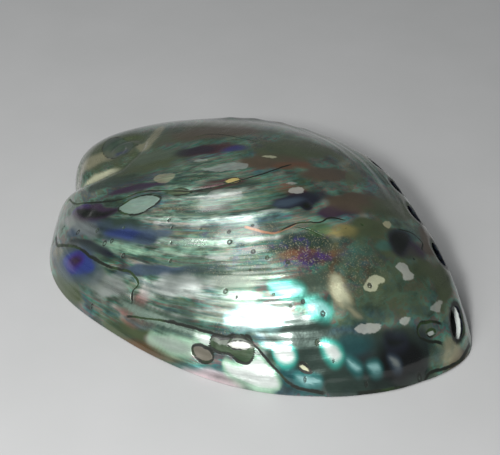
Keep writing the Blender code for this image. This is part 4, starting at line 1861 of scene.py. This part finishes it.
class PolishedOutside(Finish):
    """Polished nacre with dark layers cut through, all the markings, and painted highlights on the folds and
    in pale patches.
    """

    GRAIN_SCALE = 2200.0
    MOTTLE_SCALE = 420.0
    CALM_SCALE = 170.0
    BLOTCH_SCALE = 110.0
    WISP_STRETCH = (26.0, 80.0, 130.0)
    CALM_FRONT = (0.010, 0.045)
    CALM_SIDE = (-0.014, 0.004, 0.0, 0.75)
    GLASSY_BACK = (-0.034, -0.008, 0.85, 0.0)
    JAG_SIZE = 1.4
    STROKE_WOBBLE = 2.0
    DARK_LAYERS = (
        (0.30, Tint.OLIVE), (0.40, Tint.SLATE), (0.47, Tint.STONE), (0.54, Tint.FERN), (0.61, Tint.STEEL),
        (0.70, Tint.STONE),
    )
    PLAY_OF_COLOUR = (
        (0.34, Tint.TEAL), (0.43, Tint.LEAF), (0.49, Tint.AQUA), (0.53, Tint.ROSE), (0.57, Tint.TEAL),
        (0.68, Tint.GOLD),
    )
    FOLD_HIGHLIGHT_COLOURS = (
        (0.25, Tint.ICE), (0.42, Tint.PEARL), (0.52, Tint.MINT), (0.60, Tint.PEARL), (0.75, Tint.BLUSH),
    )
    STAINS = ((0.38, Tint.RUST), (0.46, Tint.NIGHT), (0.54, Tint.VIOLET), (0.62, Tint.MOSS))
    METAL = (0.45, 0.74)
    ROUGHNESS = (0.40, 0.26)
    DULL_ROUGHNESS = 0.5
    HAIR_HEIGHT = 0.00003
    BLOTCH_HEIGHT = 0.00025
    RAW_HEIGHT = 0.0007
    INK_HEIGHT = -0.00006

    def __init__(self, streaks: Effect, line: Effect) -> None:
        """Make the material.

        Args:
            streaks: the streaks along the growth lines.
            line: the mask of a line.
        """
        super().__init__("polished_outside")
        graph = self.graph
        self.line = line
        self.streaks = streaks.place(graph, Growth=graph.read("growth").outputs["Vector"], Fineness=1.0)
        self.light, self.speckle, self.raw = graph.split(graph.read("cover").outputs["Vector"])
        self.outline_gap, self.inlay_gap, self.pit_gap = graph.split(graph.read("edges").outputs["Vector"])
        self.grain = graph.noise(self.spot, self.GRAIN_SCALE, 2.0, 0.55)
        self.mottle = graph.noise(self.spot, self.MOTTLE_SCALE, 5.0, 0.65)
        self.blotch = graph.noise(self.spot, self.BLOTCH_SCALE, 4.0, 0.6)
        self.jag = graph.ragged(self.mottle, self.JAG_SIZE)
        self.bands, self.smears = self.flow()
        both = graph.plus(self.bands, self.smears)
        self.uneven = graph.math("SUBTRACT", both, 1.0)
        self.tone = graph.plus(0.45, graph.times(both, 0.55))
        self.lay_colours()

    def flow(self) -> tuple[Socket, Socket]:
        """Draw the streaks, which are calm in front and on the hole side and glassy at the back.

        Returns:
            The bands and the smears, from 0 to 1.
        """
        graph = self.graph
        along, across, _ = graph.split(self.spot)
        calm = graph.greatest(graph.ease(along, *self.CALM_FRONT), graph.ease(across, *self.CALM_SIDE))
        glassy = graph.ease(along, *self.GLASSY_BACK)
        spread = graph.noise(self.spot, self.CALM_SCALE, 4.0, 0.55)
        smears = graph.between(calm, self.streaks["Smears"], spread)
        bands = graph.between(calm, self.streaks["Streaks"], self.blotch)
        wisps = graph.noise(graph.stretch(self.spot, self.WISP_STRETCH), 1.0, 2.0, 0.45)
        return graph.between(glassy, bands, self.streaks["Cloud"]), graph.between(glassy, smears, wisps)

    def lay_colours(self) -> None:
        """Lay the colours over each other, from the nacre to the raw skin, and feed the shader."""
        graph = self.graph
        colour = self.speckled(self.patched_and_highlighted(self.nacre()))
        inlay = graph.read("inlay_tint").outputs
        within = graph.ease(graph.plus(self.inlay_gap, self.jag), -0.2, 0.2, 1.0, 0.0)
        inlaid = graph.times(within, inlay["Alpha"])
        colour = graph.mix(inlaid, colour, graph.mix(1.0, inlay["Color"], self.tone, "MULTIPLY"))
        first, second, warm = self.strokes()
        colour = graph.mix(graph.times(warm, 0.75), colour, Tint.PEACH)
        colour = graph.mix(graph.ease(self.pit_gap, 0.25, 0.55, 0.6, 0.0), colour, Tint.STONE)
        ink = graph.greatest(first, second, *self.edges())
        colour = graph.mix(ink, colour, graph.mix(graph.ease(self.blotch, 0.5, 0.62), Tint.INK, Tint.MOSS))
        raw = graph.ease(graph.plus(self.raw, graph.times(self.jag, 0.6)), 0.3, 0.5)
        skin = graph.mix(graph.ease(self.mottle, 0.35, 0.65), Tint.STONE, Tint.CHALK)
        dull = graph.greatest(ink, raw, graph.times(inlaid, 0.6))
        metal = graph.ease(self.light, 0.0, 0.6, *self.METAL)
        rough = graph.ease(self.streaks["Bands"], 0.3, 0.7, *self.ROUGHNESS)
        matt = graph.greatest(raw, graph.times(ink, 0.7))
        self.dress(
            Base_Color=graph.mix(raw, colour, skin),
            Metallic=graph.times(metal, graph.math("SUBTRACT", 1.0, dull)),
            Roughness=graph.between(dull, rough, self.DULL_ROUGHNESS),
            Coat_Weight=graph.math("SUBTRACT", 1.0, matt),
            Coat_Roughness=0.10,
            Coat_IOR=1.52,
            Normal=self.relief(ink, raw),
        )

    def relief(self, ink: Socket, raw: Socket) -> Socket:
        """Make the finest relief of the surface.

        Args:
            ink: where the dark lines are.
            raw: where the skin wasn't polished.

        Returns:
            The bent normal.
        """
        graph = self.graph
        hairs = graph.times(self.streaks["Hairs"], self.HAIR_HEIGHT)
        blotches = graph.times(self.blotch, self.BLOTCH_HEIGHT)
        coarse = graph.times(self.mottle, raw, self.RAW_HEIGHT)
        height = graph.plus(hairs, blotches, coarse, graph.times(ink, self.INK_HEIGHT))
        sockets = {"Distance": 1.0, "Strength": 1.0, "Height": height}
        return graph.add("ShaderNodeBump", sockets).outputs["Normal"]

    def nacre(self) -> Socket:
        """Lay dark olive layers and, on the folds, pale streaked nacre painted as highlights of the lamps.

        Returns:
            The colour.
        """
        graph = self.graph
        dark = graph.ramp(self.streaks["Cloud"], self.DARK_LAYERS)
        dark = graph.mix(graph.ease(self.bands, 0.50, 0.64, 0.0, 0.35), dark, Tint.BARK)
        dark = graph.mix(graph.ease(self.smears, 0.50, 0.68, 0.0, 0.45), dark, Tint.SAND)
        dark = graph.mix(graph.ease(self.smears, 0.36, 0.52, 0.55, 0.0), dark, Tint.SOOT)
        play = graph.ramp(self.bands, self.PLAY_OF_COLOUR)
        dark = graph.mix(graph.ease(self.smears, 0.35, 0.65, 0.10, 0.36), dark, play)
        # Painted highlight on the folds, streaked in pearl, ice and mint.
        pale = graph.ramp(self.bands, self.FOLD_HIGHLIGHT_COLOURS)
        pale = graph.mix(graph.ease(self.smears, 0.40, 0.58, 0.55, 0.08), pale, play)
        broken = graph.times(self.uneven, graph.ease(self.light, 0.0, 0.5, 0.30, 1.2))
        return graph.mix(graph.ease(graph.plus(self.light, broken), 0.05, 0.95), dark, pale)

    def patched_and_highlighted(self, colour: Socket) -> Socket:
        """Lay the patches of colour and the painted highlights, broken up by the streaks of the nacre.

        Args:
            colour: what lies under them.

        Returns:
            The colour with the patches.
        """
        graph = self.graph
        tint_and_painted_light = graph.read("tint_and_painted_light").outputs
        toned = graph.mix(1.0, tint_and_painted_light["Color"], self.tone, "MULTIPLY")
        broken = graph.plus(tint_and_painted_light["Alpha"], graph.times(self.uneven, 0.9))
        return graph.mix(graph.ease(broken, 0.08, 0.82), colour, toned)

    def speckled(self, colour: Socket) -> Socket:
        """Lay small dark and rusty clots, with finer pale dots between them.

        Args:
            colour: what lies under them.

        Returns:
            The colour with the clots and the dots.
        """
        graph = self.graph
        clots = graph.times(graph.ease(self.mottle, 0.42, 0.62), graph.ease(self.speckle, 0.45, 0.95))
        colour = graph.mix(graph.times(clots, 0.6), colour, graph.ramp(self.blotch, self.STAINS))
        dots = graph.times(graph.ease(self.grain, 0.56, 0.64), self.speckle)
        return graph.mix(graph.times(dots, 0.48), colour, Tint.SAND)

    def line_mask(self, gap: Socket, there: Value, wobble: Socket, softness: float) -> Socket:
        """The mask of a line at this distance, in half widths."""
        shaped = self.line.place(self.graph, Gap=gap, There=there, Wobble=wobble, Softness=softness)
        return shaped["Mask"]

    def strokes(self) -> list[Socket]:
        """Mask the three layers of lines, which are ragged and vary in width.

        Returns:
            The masks.
        """
        graph = self.graph
        gaps = graph.split(graph.read("ink_gap").outputs["Vector"])
        there = graph.split(graph.read("ink_there").outputs["Vector"])
        wobble = graph.ragged(self.mottle, self.STROKE_WOBBLE)
        thin = graph.plus(0.30, graph.times(self.blotch, 1.5))
        return [
            self.line_mask(graph.times(gap, thin), counts, wobble, 0.4) for gap, counts in zip(gaps, there)
        ]

    def edges(self) -> tuple[Socket, Socket, Socket]:
        """Mask the other dark lines.

        Returns:
            The masks of the outlines, of the rings round the pits and of the edges of the holes.
        """
        graph = self.graph
        outline = self.line_mask(self.outline_gap, 1.0, self.jag, 0.3)
        ring = graph.times(graph.ease(self.pit_gap, 0.5, 0.8), graph.ease(self.pit_gap, 1.1, 1.5, 0.9, 0.0))
        hole_gap = graph.read("hole_gap").outputs["Fac"]
        hole_edge = graph.ease(graph.plus(hole_gap, self.jag), 0.5, 1.4, 1.0, 0.0)
        return outline, ring, hole_edge


class NacreInside(Finish):
    """The bright nacre that the animal lay against."""

    MOTTLE_SCALE = 120.0
    PLAY_OF_COLOUR = (
        (0.30, Tint.TEAL), (0.40, Tint.MINT), (0.47, Tint.ICE), (0.53, Tint.ROSE), (0.60, Tint.SKY),
        (0.70, Tint.LEAF),
    )

    def __init__(self, streaks: Effect) -> None:
        """Make the material.

        Args:
            streaks: the streaks along the growth lines.
        """
        super().__init__("nacre_inside")
        graph = self.graph
        flow = streaks.place(graph, Growth=graph.read("growth").outputs["Vector"], Fineness=0.7)
        mottle = graph.noise(self.spot, self.MOTTLE_SCALE, 4.0, 0.6)
        bands = graph.plus(graph.times(flow["Bands"], 0.7), graph.times(mottle, 0.3))
        pale = graph.ease(flow["Cloud"], 0.4, 0.65, 0.0, 0.6)
        self.dress(
            Base_Color=graph.mix(pale, graph.ramp(bands, self.PLAY_OF_COLOUR), Tint.PEARL),
            Metallic=0.6,
            Roughness=graph.ease(mottle, 0.3, 0.7, 0.34, 0.24),
            Coat_Weight=0.6,
            Coat_Roughness=0.10,
        )


class CutWall(Finish):
    """The walls of the breathing holes: a dark glossy layer, and deeper down a pale pearl that is painted
    light, standing in for the bright spot and glints seen inside them.
    """

    GRAIN_SCALE = 300.0
    PAINTED_LIGHT_DEPTH = (1.1, 1.5)
    LAYERS = ((0.40, Tint.SOOT), (0.55, Tint.NIGHT), (0.75, Tint.SLATE))

    def __init__(self) -> None:
        """Make the material."""
        super().__init__("cut_wall")
        graph = self.graph
        grain = graph.noise(graph.stretch(self.spot, (1.0, 1.0, 3.0)), self.GRAIN_SCALE, 3.0, 0.6)
        depth = graph.plus(graph.read("hole_depth").outputs["Fac"], graph.times(grain, 0.5))
        # Painted light: below this depth the wall turns pearl, like the bright spot and glints inside the
        # hole.
        painted_light = graph.ease(depth, *self.PAINTED_LIGHT_DEPTH)
        self.dress(
            Base_Color=graph.mix(painted_light, graph.ramp(grain, self.LAYERS), Tint.PEARL),
            Roughness=0.25,
            Coat_Weight=0.8,
        )


def make_finishes() -> list[bpy.types.Material]:
    """Make the three finishes of the shell.

    Returns:
        One material for each Surface, in order.
    """
    streaks = make_streaks()
    finishes = {
        Surface.OUTSIDE: PolishedOutside(streaks, make_line()),
        Surface.INSIDE: NacreInside(streaks),
        Surface.HOLE_WALL: CutWall(),
    }
    return [finishes[surface].material for surface in Surface]


@dataclass(frozen=True)
class CameraSpot:
    """Where the photo was taken from, seen from a point above the drawing centre, in millimetres."""

    azimuth: float = 41.0
    elevation: float = 38.0
    distance: float = 330.0
    focal_pixels: float = 1137.4
    slide: float = -0.19
    climb: float = -2.21
    aim_height: float = 15.0
    picture_width: float = 500.0

    def directions(self) -> tuple[Vector, Vector, Vector]:
        """Find how the camera is turned.

        Returns:
            Its right, up and forward directions.
        """
        around = math.radians(self.azimuth)
        down = math.radians(self.elevation)
        right = Vector((math.cos(around), math.sin(around), 0.0))
        level = math.cos(down)
        forward = Vector((-math.sin(around) * level, math.cos(around) * level, -math.sin(down)))
        return right, right.cross(forward), forward


@dataclass(frozen=True)
class SoftLight:
    """A square or oblong light that looks at the shell. Its lengths are metres."""

    name: str
    towards: tuple[float, float, float]
    distance: float
    size: tuple[float, float]
    power: float


class Studio:
    """The table, the lights and the camera."""

    LIGHTS = (
        SoftLight("flash", (0.32, -0.72, 0.615), 0.40, (0.06, 0.05), 1.02),
        SoftLight("window", (0.05, -0.76, 0.65), 0.55, (0.30, 0.22), 0.84),
        SoftLight("ceiling", (-0.29, -0.26, 0.93), 0.90, (0.50, 0.30), 2.36),
    )
    LIT_HEIGHT = 0.015
    ROOM_COLOUR = (0.93, 0.97, 1.0, 1.0)
    ROOM_STRENGTH = 0.13
    TABLE_SIZE = 4.0
    TABLE_DROP = 0.00005
    TABLE_TONES = ((0.50, 0.505, 0.50, 1.0), (0.56, 0.56, 0.56, 1.0))
    TABLE_CLOUD_SCALE = 30.0
    SENSOR_WIDTH = 36.0

    def __init__(self, shift: Vector) -> None:
        """Set up round the shell.

        Args:
            shift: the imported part's middle, seen from the drawing centre, in millimetres.
        """
        self.shift = shift

    def set_table(self) -> bpy.types.Object:
        """Set a pale plain table a hair below the shell.

        Returns:
            The table.
        """
        bpy.ops.mesh.primitive_plane_add(size=self.TABLE_SIZE, location=(0.0, 0.0, -self.TABLE_DROP))
        table = bpy.context.object
        table.name = "table"
        top = Finish("table_top")
        cloud = top.graph.noise(top.spot, self.TABLE_CLOUD_SCALE, 3.0)
        top.dress(Base_Color=top.graph.mix(cloud, *self.TABLE_TONES), Roughness=0.55)
        table.data.materials.append(top.material)
        return table

    def set_lights(self) -> None:
        """Place the lights and the dim room."""
        world = bpy.data.worlds.new("room")
        bpy.context.scene.world = world
        world.use_nodes = True
        background = world.node_tree.nodes["Background"]
        background.inputs["Color"].default_value = self.ROOM_COLOUR
        background.inputs["Strength"].default_value = self.ROOM_STRENGTH
        for light in self.LIGHTS:
            lamp = bpy.data.lights.new(light.name, "AREA")
            lamp.shape = "RECTANGLE"
            lamp.size, lamp.size_y = light.size
            lamp.energy = light.power
            made = bpy.data.objects.new(light.name, lamp)
            bpy.context.scene.collection.objects.link(made)
            towards = Vector(light.towards).normalized()
            made.location = towards * light.distance + Vector((0.0, 0.0, self.LIT_HEIGHT))
            made.rotation_mode = "QUATERNION"
            made.rotation_quaternion = towards.to_track_quat("Z", "Y")

    def set_camera(self, spot: CameraSpot) -> bpy.types.Object:
        """Place the camera where the photo was taken.

        Args:
            spot: the photo's viewpoint.

        Returns:
            The camera, which becomes the scene's own.
        """
        right, up, forward = spot.directions()
        lens = bpy.data.cameras.new("photo_camera")
        lens.sensor_fit = "HORIZONTAL"
        lens.sensor_width = self.SENSOR_WIDTH
        lens.lens = lens.sensor_width * spot.focal_pixels / spot.picture_width
        lens.clip_start = 0.01
        lens.clip_end = 20.0
        camera = bpy.data.objects.new("photo_camera", lens)
        bpy.context.scene.collection.objects.link(camera)
        aim = Vector((0.0, 0.0, spot.aim_height)) + right * spot.slide + up * spot.climb
        camera.location = (aim - forward * spot.distance - self.shift) * MM
        camera.rotation_mode = "QUATERNION"
        camera.rotation_quaternion = Matrix((right, up, -forward)).transposed().to_quaternion()
        bpy.context.scene.camera = camera
        return camera


def main() -> None:
    """Build the shell in its studio."""
    logging.basicConfig(level=logging.INFO, format="%(name)s: %(message)s")
    builder = ShellBuilder()
    shell = builder.build(make_finishes())
    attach(shell, "root")
    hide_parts(PART_NAME)
    studio = Studio(builder.shift)
    studio.set_table()
    studio.set_lights()
    studio.set_camera(CameraSpot())
    bpy.context.scene.view_settings.view_transform = "Standard"


if __name__ == "__main__":
    main()
